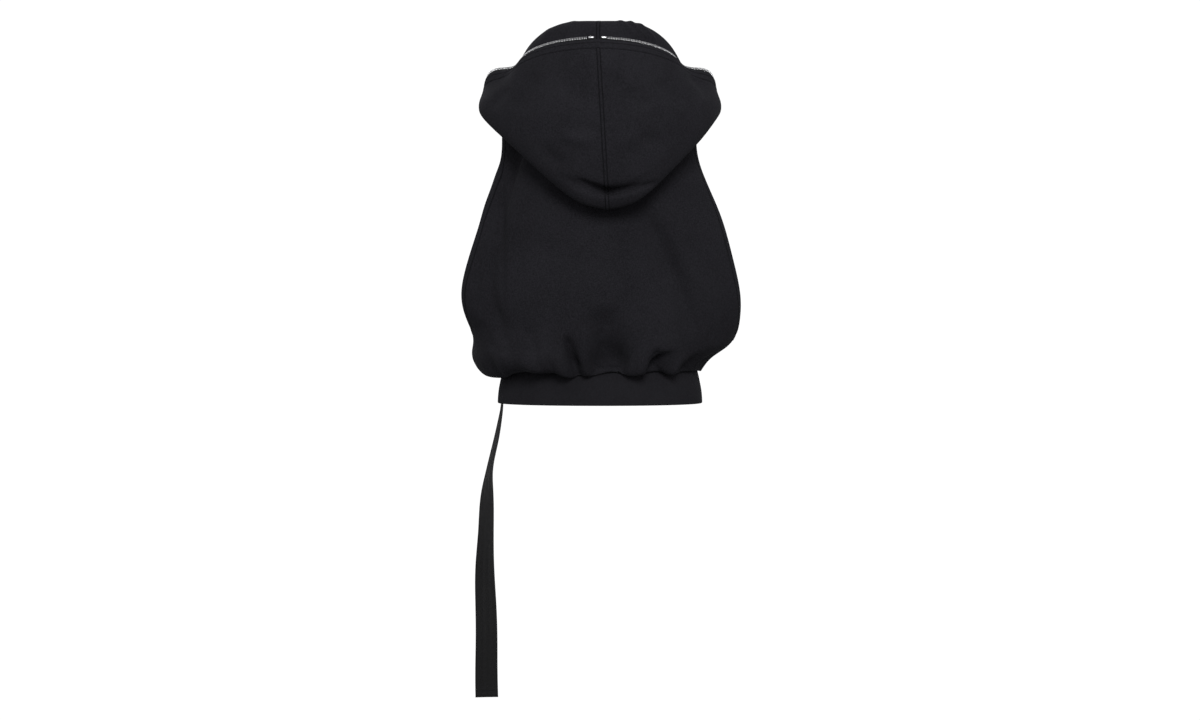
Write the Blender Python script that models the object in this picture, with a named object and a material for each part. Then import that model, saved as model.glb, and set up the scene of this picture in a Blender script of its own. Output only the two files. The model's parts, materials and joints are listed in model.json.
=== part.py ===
"""Sleeveless zip-up hoodie, worn with no wearer: hood down, zip closed up to the throat.

Metres, +Z up. The garment's back faces -Y and its zip faces +Y, so the wearer's right is +X.
The origin is the middle of the neck base, level with the shoulder seams' inner ends.

The body is one closed surface around the torso, cut into a back and two fronts. A point on it has
an angle (0 at the right side, 90 at the zip, 180 at the left side, -90 at the back) and a station
that runs down the rows of BODY. The hood is a fan of profiles, one for each angle round the neck:
each rises from the neck seam, rolls over, sinks into the pouch and comes up again to the zip.
"""

import math

import bmesh
import bpy
import numpy as np
from mathutils import Matrix, Vector

# ---------------------------------------------------------------- driving sizes

CLOTH = 0.0020  # heavy brushed fleece
RIB_CLOTH = 0.0030  # rib knit, folded double
SEAM_GAP = 0.0003
NECK_SEAM_LIFT = 0.0014  # the hood starts this far up its own slope, clear of the body's edge

# One row for each ring of the body, from the neck seam down over the blouse to the waist seam.
# left, right: half widths; back, front, zip: depths at mid back, mid front and along the zip;
# the heights of those places follow. Down the arm openings the widths are the cloth's edges.
BODY_COLUMNS = "left right back front zip side_z back_z front_z zip_z square"
BODY = [
    # left   right  back   front  zip    side_z  back_z  front_z zip_z   square
    (0.0780, 0.0780, 0.062, 0.080, 0.080, 0.000, 0.022, -0.062, -0.062, 2.0),
    (0.1220, 0.1220, 0.090, 0.098, 0.098, -0.017, -0.022, -0.100, -0.100, 2.0),
    (0.1640, 0.1620, 0.113, 0.112, 0.112, -0.042, -0.074, -0.140, -0.140, 2.1),
    (0.1694, 0.1660, 0.124, 0.119, 0.119, -0.110, -0.124, -0.178, -0.178, 2.2),
    (0.1860, 0.1820, 0.131, 0.125, 0.125, -0.175, -0.181, -0.218, -0.218, 2.2),
    (0.2054, 0.2054, 0.136, 0.130, 0.130, -0.235, -0.238, -0.264, -0.264, 2.2),
    (0.2255, 0.2235, 0.140, 0.135, 0.134, -0.300, -0.301, -0.315, -0.314, 2.2),
    (0.2385, 0.2370, 0.143, 0.140, 0.138, -0.360, -0.360, -0.366, -0.358, 2.2),
    (0.2320, 0.2400, 0.147, 0.146, 0.141, -0.405, -0.405, -0.409, -0.394, 2.2),
    (0.2190, 0.2320, 0.151, 0.151, 0.142, -0.445, -0.446, -0.448, -0.424, 2.2),
    (0.2150, 0.1990, 0.152, 0.154, 0.139, -0.481, -0.482, -0.483, -0.449, 2.2),
    (0.1980, 0.1800, 0.145, 0.148, 0.132, -0.507, -0.508, -0.508, -0.470, 2.2),
    (0.1810, 0.1750, 0.130, 0.132, 0.1215, -0.506, -0.506, -0.506, -0.483, 2.2),
    (0.1693, 0.1693, 0.1193, 0.1193, 0.1193, -0.4915, -0.4915, -0.4915, -0.4915, 2.2),
]
ZIP_PULL_IN = 14.0  # degrees round the front over which the zip holds the blouse in

# Arm openings, in stations of BODY, and how far round they reach from the side, in degrees.
ARM_TOP = 2.0
ARM_BOTTOM = {"left": 8.45, "right": 8.75}
ARM_HALF_ANGLE = {"back": 24.0, "front": 28.0}

# Gathers where the blouse is sewn to the narrower rib: angle and half width in degrees, how deep
# the cloth is pinched in, and how far up the pinch reaches.
GATHER_COLUMNS = "angle half_width depth reach"
GATHERS = [
    (-138.0, 9.0, -0.008, 0.050),
    (-122.0, 8.0, -0.008, 0.050),
    (-101.0, 3.2, 0.025, 0.085),
    (-86.0, 8.0, 0.031, 0.095),
    (-69.0, 4.0, -0.006, 0.040),
    (-60.0, 4.5, 0.036, 0.042),
    (-48.0, 3.0, -0.005, 0.035),
    (-36.0, 6.0, 0.012, 0.036),
    (-150.0, 5.0, 0.010, 0.045),
    (-14.0, 6.0, 0.012, 0.045),
    (12.0, 6.0, 0.014, 0.050),
    (38.0, 7.0, 0.020, 0.070),
    (57.0, 5.0, 0.024, 0.080),
    (71.0, 4.0, 0.014, 0.055),
    (108.0, 4.5, 0.016, 0.060),
    (124.0, 6.0, 0.026, 0.075),
    (145.0, 7.0, 0.018, 0.055),
    (168.0, 6.0, 0.012, 0.045),
]
# The scalloped lower edge of the blouse: angle, and how far it is lifted there. Between these
# places the edge runs in smooth steps, and the lift fades out at a height of LIFT_REACH.
EDGE_LIFT = [
    (-180.0, 0.000), (-156.0, 0.000), (-130.0, 0.016), (-121.0, 0.012), (-114.0, 0.0140),
    (-104.0, 0.003), (-100.0, 0.008), (-94.5, 0.006), (-84.0, 0.0175), (-73.5, 0.0065),
    (-57.5, 0.0210), (-49.0, 0.0080), (-34.0, 0.0180), (-17.0, 0.0165), (-2.0, 0.0130),
    (12.0, 0.0150), (24.0, 0.0060), (38.0, 0.0150), (47.5, 0.0060), (57.0, 0.0190),
    (65.0, 0.0070), (74.0, 0.0120), (90.0, 0.0060), (106.0, 0.0120), (114.0, 0.0060),
    (124.0, 0.0200), (135.0, 0.0050), (145.0, 0.0130), (157.0, 0.0030), (168.0, 0.0060),
    (180.0, 0.000),
]
LIFT_REACH = 0.062
BLOUSE_STATION = 11.0  # the lowest ring
HEM_CLEARANCE = 0.0045  # the overhang keeps this far out from the waist seam's ring

# Broad soft folds of the body: a trough (depth > 0) or a ridge (depth < 0) that runs from one
# angle and station to another.
FOLD_COLUMNS = "angle_top station_top angle_low station_low half_width depth"
BODY_FOLDS = [
    (-146.0, 2.2, -140.0, 8.4, 8.0, 0.018),
    (-77.0, 4.2, -44.0, 9.6, 9.0, 0.013),
    (-92.0, 4.6, -96.0, 10.2, 16.0, -0.006),
    (-30.0, 3.4, -22.0, 8.6, 8.0, -0.004),
    (62.0, 1.6, 44.0, 8.8, 12.0, 0.009),
    (118.0, 1.8, 137.0, 8.8, 12.0, 0.009),
]
SIDE_BULGE = {"angle": 168.0, "half_width": 12.0, "station": 10.2, "half_length": 1.2, "out": 0.014}

# Rib hem.
HEM_TOP_Z = -0.4918
HEM_BOTTOM_Z = -0.5560
HEM_TOP = (0.1665, 0.1165)  # half width, half depth
HEM_BOTTOM = (0.1775, 0.1255)
HEM_SQUARE = 2.2

# Zip.
ZIP_EDGE_X = 0.0070  # the fronts' edges, either side of the closed zip
ZIP_V_STATION = 1.9  # above this station the fronts part
ZIP_V_X = 0.0360  # how much further from the middle each is at the neck seam
ZIP_V_CURVE = 1.7  # above 1, the fronts part slowly at first
TAPE = 0.0008
TAPE_GAP = 0.0005  # between the tape and the cloth over it
TAPE_UNDER = 0.0075  # how far the tape reaches under the cloth
CORNER_REACH = 0.030  # how far the zip's corner at the neck seam is rounded, each way
CORNER_ROWS = 11
TEETH_WIDTH = 0.0028  # one side's row of teeth
TEETH_THICK = 0.0024
TEETH_TO_CENTRE = 0.0003  # between a row of teeth and the closed zip's centre line
CROWN_STOP = (0.0060, 0.0155)  # a stop's two ends, from the hood's centre seam
CROWN_TAPE_END = 0.0030
BOX_LENGTH = 0.0085  # the box that joins the two rows of teeth at the hem
BOX_THICK = 0.0036

# Hood. One row for each angle round the neck from mid back (0) over the side (90) to the front.
# Each profile is a smooth curve drawn towards these points, as distance out from the neck's axis
# and height; it starts on the neck seam and ends at the zipped edge.
HOOD_COLUMNS = "rise roll_in roll_out inner low_in low_out belly upper"
HOOD_STATIONS = [0.0, 12.0, 30.0, 50.0, 66.0, 90.0, 115.0, 132.0, 142.0, 147.0]
HOOD_OUT = [
    (0.064, 0.068, 0.096, 0.112, 0.150, 0.190, 0.204, 0.188),
    (0.065, 0.069, 0.098, 0.114, 0.152, 0.192, 0.206, 0.188),
    (0.067, 0.074, 0.105, 0.123, 0.164, 0.201, 0.211, 0.189),
    (0.074, 0.084, 0.117, 0.134, 0.176, 0.209, 0.215, 0.192),
    (0.083, 0.095, 0.125, 0.141, 0.185, 0.212, 0.215, 0.196),
    (0.090, 0.102, 0.128, 0.146, 0.184, 0.206, 0.209, 0.202),
    (0.090, 0.098, 0.118, 0.132, 0.152, 0.169, 0.175, 0.176),
    (0.086, 0.090, 0.097, 0.104, 0.111, 0.118, 0.124, 0.128),
    (0.0805, 0.0825, 0.0845, 0.0865, 0.0885, 0.0905, 0.0925, 0.0945),
    (0.0800, 0.0804, 0.0808, 0.0812, 0.0816, 0.0820, 0.0824, 0.0828),
]
HOOD_UP = [
    (0.066, 0.103, 0.101, 0.020, -0.229, -0.234, -0.090, 0.012),
    (0.065, 0.104, 0.101, 0.018, -0.217, -0.222, -0.084, 0.010),
    (0.062, 0.104, 0.099, 0.014, -0.160, -0.168, -0.066, 0.006),
    (0.050, 0.096, 0.090, 0.018, -0.101, -0.111, -0.046, -0.006),
    (0.036, 0.082, 0.077, 0.021, -0.068, -0.078, -0.034, -0.014),
    (0.026, 0.062, 0.058, 0.024, -0.044, -0.056, -0.030, -0.014),
    (0.008, 0.036, 0.034, 0.012, -0.038, -0.050, -0.032, -0.012),
    (-0.022, -0.010, -0.006, -0.012, -0.022, -0.028, -0.026, -0.018),
    (-0.0385, -0.0365, -0.0345, -0.0325, -0.0300, -0.0275, -0.0252, -0.0228),
    (-0.0425, -0.0418, -0.0411, -0.0404, -0.0397, -0.0390, -0.0383, -0.0376),
]
# The zipped edge: angle, then distance out and height. It drops behind the shoulders' inner ends.
HOOD_EDGE = [
    (0.0, 0.166, 0.0590),
    (20.0, 0.168, 0.0535),
    (36.0, 0.170, 0.0425),
    (45.0, 0.170, 0.0325),
    (51.0, 0.171, 0.0225),
    (57.0, 0.176, 0.0175),
    (66.0, 0.186, 0.0165),
    (76.0, 0.195, 0.0130),
    (90.0, 0.200, 0.0020),
    (115.0, 0.174, 0.0010),
    (132.0, 0.130, -0.0080),
    (142.0, 0.0965, -0.0205),
    (147.0, 0.0832, -0.0370),
]
HOOD_LEAN_X = -0.004  # the centre seam starts left of the middle at the zip
HOOD_LEAN = 0.058  # and leans to the right as it goes down, in metres for each metre
HOOD_LEAN_FROM_Z = 0.060
HOOD_BAND = 0.0165  # the strip that carries the zip, between seam and zip
HOOD_CREASE = {"above_fold": 0.029, "half_width": 0.008, "depth": 0.013, "reach": 12.0}
TURN_WEIGHT = 0.06  # metres of length that one radian of turning counts for, when rows are spaced

# Strap: height, sideways place and the turn of its width from front-to-back to side-to-side.
STRAP_WIDTH = 0.040
STRAP_Y = 0.0
STRAP_THICK = 0.0013
STRAP_COLUMNS = "z x turn"
STRAP = [
    (-0.4985, -0.1636, 0.0),
    (-0.516, -0.1675, 0.0),
    (-0.536, -0.1708, 0.0),
    (-0.560, -0.1724, 2.5),
    (-0.583, -0.1762, 6.0),
    (-0.632, -0.1846, 11.0),
    (-0.681, -0.1934, 16.5),
    (-0.705, -0.1966, 26.0),
    (-0.730, -0.1990, 34.0),
    (-0.780, -0.2012, 40.0),
    (-0.850, -0.2008, 54.0),
    (-0.900, -0.2000, 63.0),
    (-1.000, -0.2000, 73.0),
    (-1.0745, -0.1988, 84.0),
]

# Zip slider and pull, in the slider's own frame: X across, Z up the zip, Y out of the cloth.
SLIDER_STATION = 1.75
SLIDER_WIDTH = 0.0095
SLIDER_LENGTH = 0.0130
SLIDER_PLATE = 0.0012
SLIDER_GAP = 0.0036  # between its plates, where the teeth run
ARCH_WIDTH = 0.0022
ARCH_LENGTH = 0.0075
ARCH_HEIGHT = 0.0040
PULL_PIN = 0.0009  # radius of the pull's cross bar
PULL_EYE_WIDTH = 0.0060
PULL_EYE_LENGTH = 0.0085
PULL_TAB_LENGTH = 0.0260
PULL_TAB_WIDTH = 0.0070
PULL_THICK = 0.0013
PULL_TILT = 5.0  # degrees by which the hanging tab leans in towards the teeth

# Mesh density.
ROWS_ABOVE_ARM = 5
ROWS_BESIDE_ARM = 13
ROWS_BELOW_ARM = 11
BACK_COLUMNS = 36
FRONT_COLUMNS = 15
HOOD_ROWS = 26
HOOD_ROW_CROWDING = 1.3  # above 1, the rows crowd towards the throat
HOOD_COLUMNS_COUNT = 27
HEM_SEGMENTS = 24
STRAP_ROWS = 46
STRAP_COLUMNS_COUNT = 4

BLACK_FLEECE = (0.0135, 0.0130, 0.0150, 1.0)
BLACK_RIB = (0.0130, 0.0125, 0.0145, 1.0)
BLACK_TAPE = (0.0090, 0.0088, 0.0095, 1.0)
BLACK_WEBBING = (0.0125, 0.0125, 0.0130, 1.0)
NICKEL = (0.62, 0.61, 0.59, 1.0)


# ---------------------------------------------------------------- curves and tables


def through(at, values, where):
    """The natural cubic curve through values (a row for each place in at), read at where."""
    at, values = np.asarray(at, float), np.asarray(values, float)
    step = np.diff(at)
    count = len(at)
    system, right = np.eye(count), np.zeros((count,) + values.shape[1:])
    for i in range(1, count - 1):
        system[i, i - 1 : i + 2] = step[i - 1], 2 * (step[i - 1] + step[i]), step[i]
        right[i] = 6 * (
            (values[i + 1] - values[i]) / step[i] - (values[i] - values[i - 1]) / step[i - 1]
        )
    bend = np.linalg.solve(system, right.reshape(count, -1)).reshape(right.shape)
    where = np.clip(np.asarray(where, float), at[0], at[-1])
    i = np.clip(np.searchsorted(at, where, side="right") - 1, 0, count - 2)
    span = step[i]
    high = (where - at[i]) / span
    low = 1 - high
    tail = (...,) + (None,) * (values.ndim - 1)
    return (
        low[tail] * values[i]
        + high[tail] * values[i + 1]
        + ((low**3 - low) * span**2 / 6)[tail] * bend[i]
        + ((high**3 - high) * span**2 / 6)[tail] * bend[i + 1]
    )


def spline_weights(count, t):
    """Weights of count control points along a clamped, uniform cubic B-spline, a row for each t."""
    knots = np.concatenate([[0] * 3, np.linspace(0, 1, count - 2), [1] * 3])
    t = np.clip(np.asarray(t, float), 0, 1 - 1e-9)
    weights = [((knots[i] <= t) & (t < knots[i + 1])).astype(float) for i in range(count + 3)]
    for degree in (1, 2, 3):
        for i in range(count + 3 - degree):
            rise, fall = knots[i + degree] - knots[i], knots[i + degree + 1] - knots[i + 1]
            first = (t - knots[i]) / rise * weights[i] if rise else 0
            second = (knots[i + degree + 1] - t) / fall * weights[i + 1] if fall else 0
            weights[i] = first + second
    return np.stack(weights[:count], axis=1)


def bump(distance):
    """A smooth hump: 1 at 0, nearly 0 from 2 on."""
    return np.exp(-np.asarray(distance, float) ** 2)


def around(angle, centre):
    """The signed difference of two angles in degrees, from -180 to 180."""
    return (np.asarray(angle) - centre + 180) % 360 - 180


def smooth_step(x):
    x = np.clip(x, 0, 1)
    return x * x * (3 - 2 * x)


# ---------------------------------------------------------------- the body's surface


def body_rings(station):
    """The columns of BODY at these stations, as a dictionary of arrays."""
    values = through(np.arange(len(BODY)), BODY, station)
    return dict(zip(BODY_COLUMNS.split(), np.moveaxis(values, -1, 0)))


def arm_half_angle(station, side, part):
    """How far the arm opening reaches round from the side, in degrees, on the back or the front."""
    share = (station - ARM_TOP) / (ARM_BOTTOM[side] - ARM_TOP)
    return ARM_HALF_ANGLE[part] * np.sqrt(np.clip(4 * share * (1 - share), 0, None))


def power(x, exponent):
    return np.sign(x) * np.abs(x) ** exponent


def body_base(angle, station):
    """The body's surface before its folds. Angle and station are arrays of one shape."""
    ring = body_rings(station)
    turn = np.radians(angle)
    is_right, is_front = np.cos(turn) > 0, np.sin(turn) > 0
    exponent = 2 / ring["square"]
    width = np.where(is_right, ring["right"], ring["left"])
    opening = np.where(
        is_right,
        arm_half_angle(station, "right", "back"),
        arm_half_angle(station, "left", "back"),
    )
    # The table gives the width at the opening's edge, so the whole ring is a little wider.
    width = width / np.cos(np.radians(opening)) ** exponent
    zip_share = bump(around(angle, 90) / ZIP_PULL_IN)
    front = ring["front"] + (ring["zip"] - ring["front"]) * zip_share
    front_z = ring["front_z"] + (ring["zip_z"] - ring["front_z"]) * zip_share
    depth = np.where(is_front, front, ring["back"])
    middle_z = np.where(is_front, front_z, ring["back_z"])
    lift = np.sin(turn) ** 2
    x = width * power(np.cos(turn), exponent)
    y = depth * power(np.sin(turn), exponent)
    z = ring["side_z"] + (middle_z - ring["side_z"]) * lift
    return np.stack([x, y, z], axis=-1)


def edge_lift(angle):
    """How far the blouse's lower edge is lifted at an angle: smooth steps between EDGE_LIFT."""
    at, lift = np.array(EDGE_LIFT).T
    angle = around(angle, 0)
    i = np.clip(np.searchsorted(at, angle, side="right") - 1, 0, len(at) - 2)
    share = smooth_step((angle - at[i]) / (at[i + 1] - at[i]))
    return lift[i] + (lift[i + 1] - lift[i]) * share


def body(angle, station):
    """The body's surface with its gathers and folds, pushed along the outward direction."""
    angle, station = np.broadcast_arrays(np.asarray(angle, float), np.asarray(station, float))
    point = body_base(angle, station)
    flat = point * (1, 1, 0)
    out = flat / np.maximum(np.linalg.norm(flat, axis=-1, keepdims=True), 1e-9)
    push = np.zeros(angle.shape)
    # Where the cloth turns under and back up to the seam, a pinch fades out again.
    turned_under = smooth_step((station - BLOUSE_STATION) / 2)
    height = point[..., 2] - body_rings(np.full_like(station, BLOUSE_STATION))["side_z"]
    low = (station > BLOUSE_STATION - 3) * (1 - turned_under)
    for centre, half_width, depth, reach in GATHERS:
        up = smooth_step(1 - height / reach)
        push -= depth * bump(around(angle, centre) / half_width) * up * low
    raise_by = edge_lift(angle) * smooth_step(1 - height / LIFT_REACH) * low
    for angle_top, station_top, angle_low, station_low, half_width, depth in BODY_FOLDS:
        along = (station - station_top) / (station_low - station_top)
        centre = angle_top + (angle_low - angle_top) * along
        ends = smooth_step(along * 4 + 0.6) * smooth_step((1 - along) * 4 + 0.6)
        push -= depth * bump(around(angle, centre) / half_width) * ends
    bulge = bump(around(angle, SIDE_BULGE["angle"]) / SIDE_BULGE["half_width"]) * bump(
        (station - SIDE_BULGE["station"]) / SIDE_BULGE["half_length"]
    )
    push += SIDE_BULGE["out"] * bulge * (1 - turned_under)
    # No pinch of the overhang reaches the rib: a smooth greater-of-two of the pinch and the limit.
    last = len(BODY) - 1
    seam = body_base(angle, np.full_like(station, last)) * (1, 1, 0)
    clearance = HEM_CLEARANCE * (1 + 2 * np.clip(BLOUSE_STATION - station, 0, None))
    limit = np.linalg.norm(seam, axis=-1) + clearance * smooth_step(last - station)
    room = limit - np.linalg.norm(flat, axis=-1)
    kept = (push + room + np.sqrt((push - room) ** 2 + 0.003**2)) / 2 - 0.0004
    overhang = smooth_step(station - BLOUSE_STATION + 3) * (station < last - 1e-6)
    push = push + (np.maximum(kept, push) - push) * overhang
    return point + out * push[..., None] + np.stack([0 * raise_by, 0 * raise_by, raise_by], axis=-1)


def body_normals(angle, station):
    """Unit normals of the body's surface, out of the garment."""
    around_step = body(angle + 0.6, station) - body(angle - 0.6, station)
    low, high = np.maximum(station - 0.03, 0), np.minimum(station + 0.03, len(BODY) - 1)
    down_step = body(angle, high) - body(angle, low)
    normal = np.cross(down_step, around_step)
    return normal / np.linalg.norm(normal, axis=-1, keepdims=True)


def gap_angle(station, side):
    """Half a seam's gap as an angle round the body, in degrees."""
    ring = body_rings(station)
    return np.degrees(SEAM_GAP / 2 / ring[side])


def zip_edge_x(station):
    return ZIP_EDGE_X + ZIP_V_X * np.clip(1 - station / ZIP_V_STATION, 0, None) ** ZIP_V_CURVE


def body_stations(side):
    """Rows of the body panels on one side: some above the arm opening, some along it, closer
    together at its two ends, and some below it."""
    top, bottom, last = ARM_TOP, ARM_BOTTOM[side], len(BODY) - 1
    above = np.linspace(0, top, ROWS_ABOVE_ARM + 1)[:-1]
    beside = top + (bottom - top) * (1 - np.cos(np.linspace(0, math.pi, ROWS_BESIDE_ARM + 1))) / 2
    below = bottom + (last - bottom) * np.linspace(0, 1, ROWS_BELOW_ARM + 1)[1:]
    return np.concatenate([above, beside, below])[:, None]


def back_grid():
    """The back's points and normals, from the left side seam to the right."""
    at_left, at_right = body_stations("left"), body_stations("right")
    left = 180 + arm_half_angle(at_left, "left", "back") + gap_angle(at_left, "left")
    right = 360 - arm_half_angle(at_right, "right", "back") - gap_angle(at_right, "right")
    share = np.linspace(0, 1, BACK_COLUMNS)[None, :]
    angle, station = left + (right - left) * share, at_left + (at_right - at_left) * share
    return body(angle, station), body_normals(angle, station)


def front_grid(side):
    """A front's points and normals, from the zip's edge round to the side seam."""
    station = body_stations(side)
    ring = body_rings(station)
    opening = arm_half_angle(station, side, "front") + gap_angle(station, side)
    whole = ring[side] / np.cos(np.radians(arm_half_angle(station, side, "back"))) ** (
        2 / ring["square"]
    )
    edge = np.degrees(np.arccos((zip_edge_x(station) / whole) ** (ring["square"] / 2)))
    share = np.linspace(0, 1, FRONT_COLUMNS)[None, :]
    angle = edge + (opening - edge) * share
    if side == "left":
        angle = 180 - angle
    station = station * np.ones_like(share)
    return body(angle, station), body_normals(angle, station)


def hem_grid():
    """The rib band, from the zip's left edge round the back to its right edge."""
    share = np.linspace(0, 1, HEM_SEGMENTS * 2 + 1)[None, :]
    down = np.array([0.0, 0.3, 0.65, 1.0])[:, None]
    flare = np.sin(down * math.pi / 2)
    width = HEM_TOP[0] + (HEM_BOTTOM[0] - HEM_TOP[0]) * flare
    depth = HEM_TOP[1] + (HEM_BOTTOM[1] - HEM_TOP[1]) * flare
    edge = np.degrees(np.arccos((ZIP_EDGE_X / width) ** (HEM_SQUARE / 2)))
    turn = np.radians((180 - edge) + (edge + 360 - (180 - edge)) * share)
    x = width * power(np.cos(turn), 2 / HEM_SQUARE)
    y = depth * power(np.sin(turn), 2 / HEM_SQUARE)
    z = HEM_TOP_Z + (HEM_BOTTOM_Z - HEM_TOP_Z) * down + 0 * x
    grid = np.stack([x, y, z], axis=-1)
    return grid, grid_normals(grid, 1)


# ---------------------------------------------------------------- the hood's surface


def hood_profile(angle, lift):
    """One profile of the right half: many points, from the neck seam to the zipped edge."""
    out = through(HOOD_STATIONS, HOOD_OUT, angle)
    up = through(HOOD_STATIONS, HOOD_UP, angle)
    at, edge = np.split(np.array(HOOD_EDGE), [1], axis=1)
    edge = through(at[:, 0], edge, angle)
    ring = body_base(np.array(angle - 90.0), np.array(0.0))
    start = [math.hypot(ring[0], ring[1]), ring[2]]
    control = np.vstack([start, np.stack([out, up], axis=1), edge])
    line = spline_weights(len(control), np.linspace(0, 1, 240)) @ control
    # The crease just above the pouch's lowest point, deepest at the centre seam.
    lowest = line[:, 1].min()
    outer = np.arange(len(line)) > line[:, 1].argmin()
    crease = bump((line[:, 1] - lowest - HOOD_CREASE["above_fold"]) / HOOD_CREASE["half_width"])
    line[:, 0] -= HOOD_CREASE["depth"] * crease * outer * bump(angle / HOOD_CREASE["reach"])
    start = line[1] - line[0]
    line[0] += start / np.linalg.norm(start) * lift
    after = 1 + int(np.argmax((line[1:] - line[0]) @ start > 0))
    line = np.vstack([line[:1], line[after:]])
    direction = ring[:2] / np.linalg.norm(ring[:2])
    return np.column_stack([line[:, :1] * direction, line[:, 1]])


def spaced(line, shares):
    """Points of a line at shares of its length, where turning counts as length too."""
    piece = np.diff(line, axis=0)
    long = np.linalg.norm(piece, axis=1)
    heading = piece / long[:, None]
    turning = np.arccos(np.clip((heading[1:] * heading[:-1]).sum(1), -1, 1))
    measure = np.concatenate([[0], np.cumsum(long + TURN_WEIGHT * np.append(turning, 0))])
    at = np.asarray(shares) * measure[-1]
    return np.stack([np.interp(at, measure, line[:, k]) for k in range(3)], axis=1)


def cut(line, start, end):
    """The stretch of a line between two distances from its end."""
    along = np.concatenate([[0], np.cumsum(np.linalg.norm(np.diff(line, axis=0), axis=1))])
    first, last = along[-1] - start, along[-1] - end
    inside = (along > first + 1e-6) & (along < last - 1e-6)
    at = np.concatenate([[first], along[inside], [last]])
    return np.stack([np.interp(at, along, line[:, k]) for k in range(3)], axis=1)


def hood_grids(side):
    """One half's panel and zip band, each as points and normals: a row for each angle, which runs
    from the neck seam to the zipped edge."""
    sign = {"right": 1, "left": -1}[side]
    corner = front_grid(side)[0][0, 0]
    end = 90 + math.degrees(math.atan2(corner[1], abs(corner[0])))
    panel, band = [], []
    for angle in end * (1 - np.linspace(1, 0, HOOD_ROWS) ** HOOD_ROW_CROWDING):
        near_throat = bump((end - angle) / 9)
        gap = SEAM_GAP * (1 + 2 * near_throat)
        line = hood_profile(angle, NECK_SEAM_LIFT * (1 + near_throat))
        length = np.linalg.norm(np.diff(line, axis=0), axis=1).sum()
        width = min(HOOD_BAND, 0.42 * length)
        shares = np.linspace(0, 1, HOOD_COLUMNS_COUNT)
        panel.append(spaced(cut(line, length, width + gap / 2), shares))
        band.append(spaced(cut(line, width - gap / 2, 0), np.linspace(0, 1, 3)))
    panel, band = np.array(panel), np.array(band)
    # One set of normals for the two pieces, so that their edges meet at the same slant.
    normals = grid_normals(np.concatenate([panel, band[:, 1:]], axis=1), 1)
    normals[0, :, 0] = 0
    normals /= np.linalg.norm(normals, axis=-1, keepdims=True)
    seam = HOOD_COLUMNS_COUNT - 1
    pieces = []
    for grid, normal in ((panel, normals[:, : seam + 1]), (band, normals[:, seam:])):
        grid, normal = grid.copy(), normal * (sign, 1, 1)
        grid[..., 0] = (grid[..., 0] + SEAM_GAP / 2) * sign
        lean = HOOD_LEAN_X + HOOD_LEAN * (HOOD_LEAN_FROM_Z - grid[..., 2])
        grid[..., 0] += lean * smooth_step((-grid[..., 1] - 0.05) / 0.08)
        pieces.append((grid, normal))
    return pieces


# ---------------------------------------------------------------- meshes


def material(name, colour, roughness, metallic=0.0):
    made = bpy.data.materials.new(name)
    made.use_nodes = True
    shader = made.node_tree.nodes["Principled BSDF"]
    shader.inputs["Base Color"].default_value = colour
    shader.inputs["Roughness"].default_value = roughness
    shader.inputs["Metallic"].default_value = metallic
    return made


def finish_solid(name, mesh, finish):
    """Turns a bmesh into an object, its faces outward."""
    bmesh.ops.recalc_face_normals(mesh, faces=mesh.faces)
    data = bpy.data.meshes.new(name)
    mesh.to_mesh(data)
    mesh.free()
    made = bpy.data.objects.new(name, data)
    bpy.context.scene.collection.objects.link(made)
    data.materials.append(finish)
    return made


def wall(name, grid, normals, thickness, finish):
    """A closed wall of one thickness, half of it on each side of a grid of points."""
    count = grid.shape[0] * grid.shape[1]
    index = np.arange(count).reshape(grid.shape[:2])
    outer = np.stack([index[:-1, :-1], index[:-1, 1:], index[1:, 1:], index[1:, :-1]], axis=-1)
    outer = outer.reshape(-1, 4)
    border = np.concatenate([index[0, :-1], index[:-1, -1], index[-1, :0:-1], index[:0:-1, 0]])
    after = np.roll(border, -1)
    rim = np.stack([after, border, border + count, after + count], axis=-1)
    faces = np.vstack([outer, outer[:, ::-1] + count, rim])
    points = np.vstack([(grid + normals * side * thickness / 2).reshape(-1, 3) for side in (1, -1)])
    mesh = bmesh.new()
    vertices = [mesh.verts.new(point) for point in points.tolist()]
    for face in faces.tolist():
        mesh.faces.new([vertices[k] for k in face])
    made = finish_solid(name, mesh, finish)
    made.data.shade_smooth()
    return made


def grid_normals(grid, flip):
    """Unit normals of a grid of points, from the directions of its rows and columns."""
    normal = np.cross(np.gradient(grid, axis=0), np.gradient(grid, axis=1)) * flip
    return normal / np.linalg.norm(normal, axis=-1, keepdims=True)


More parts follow.
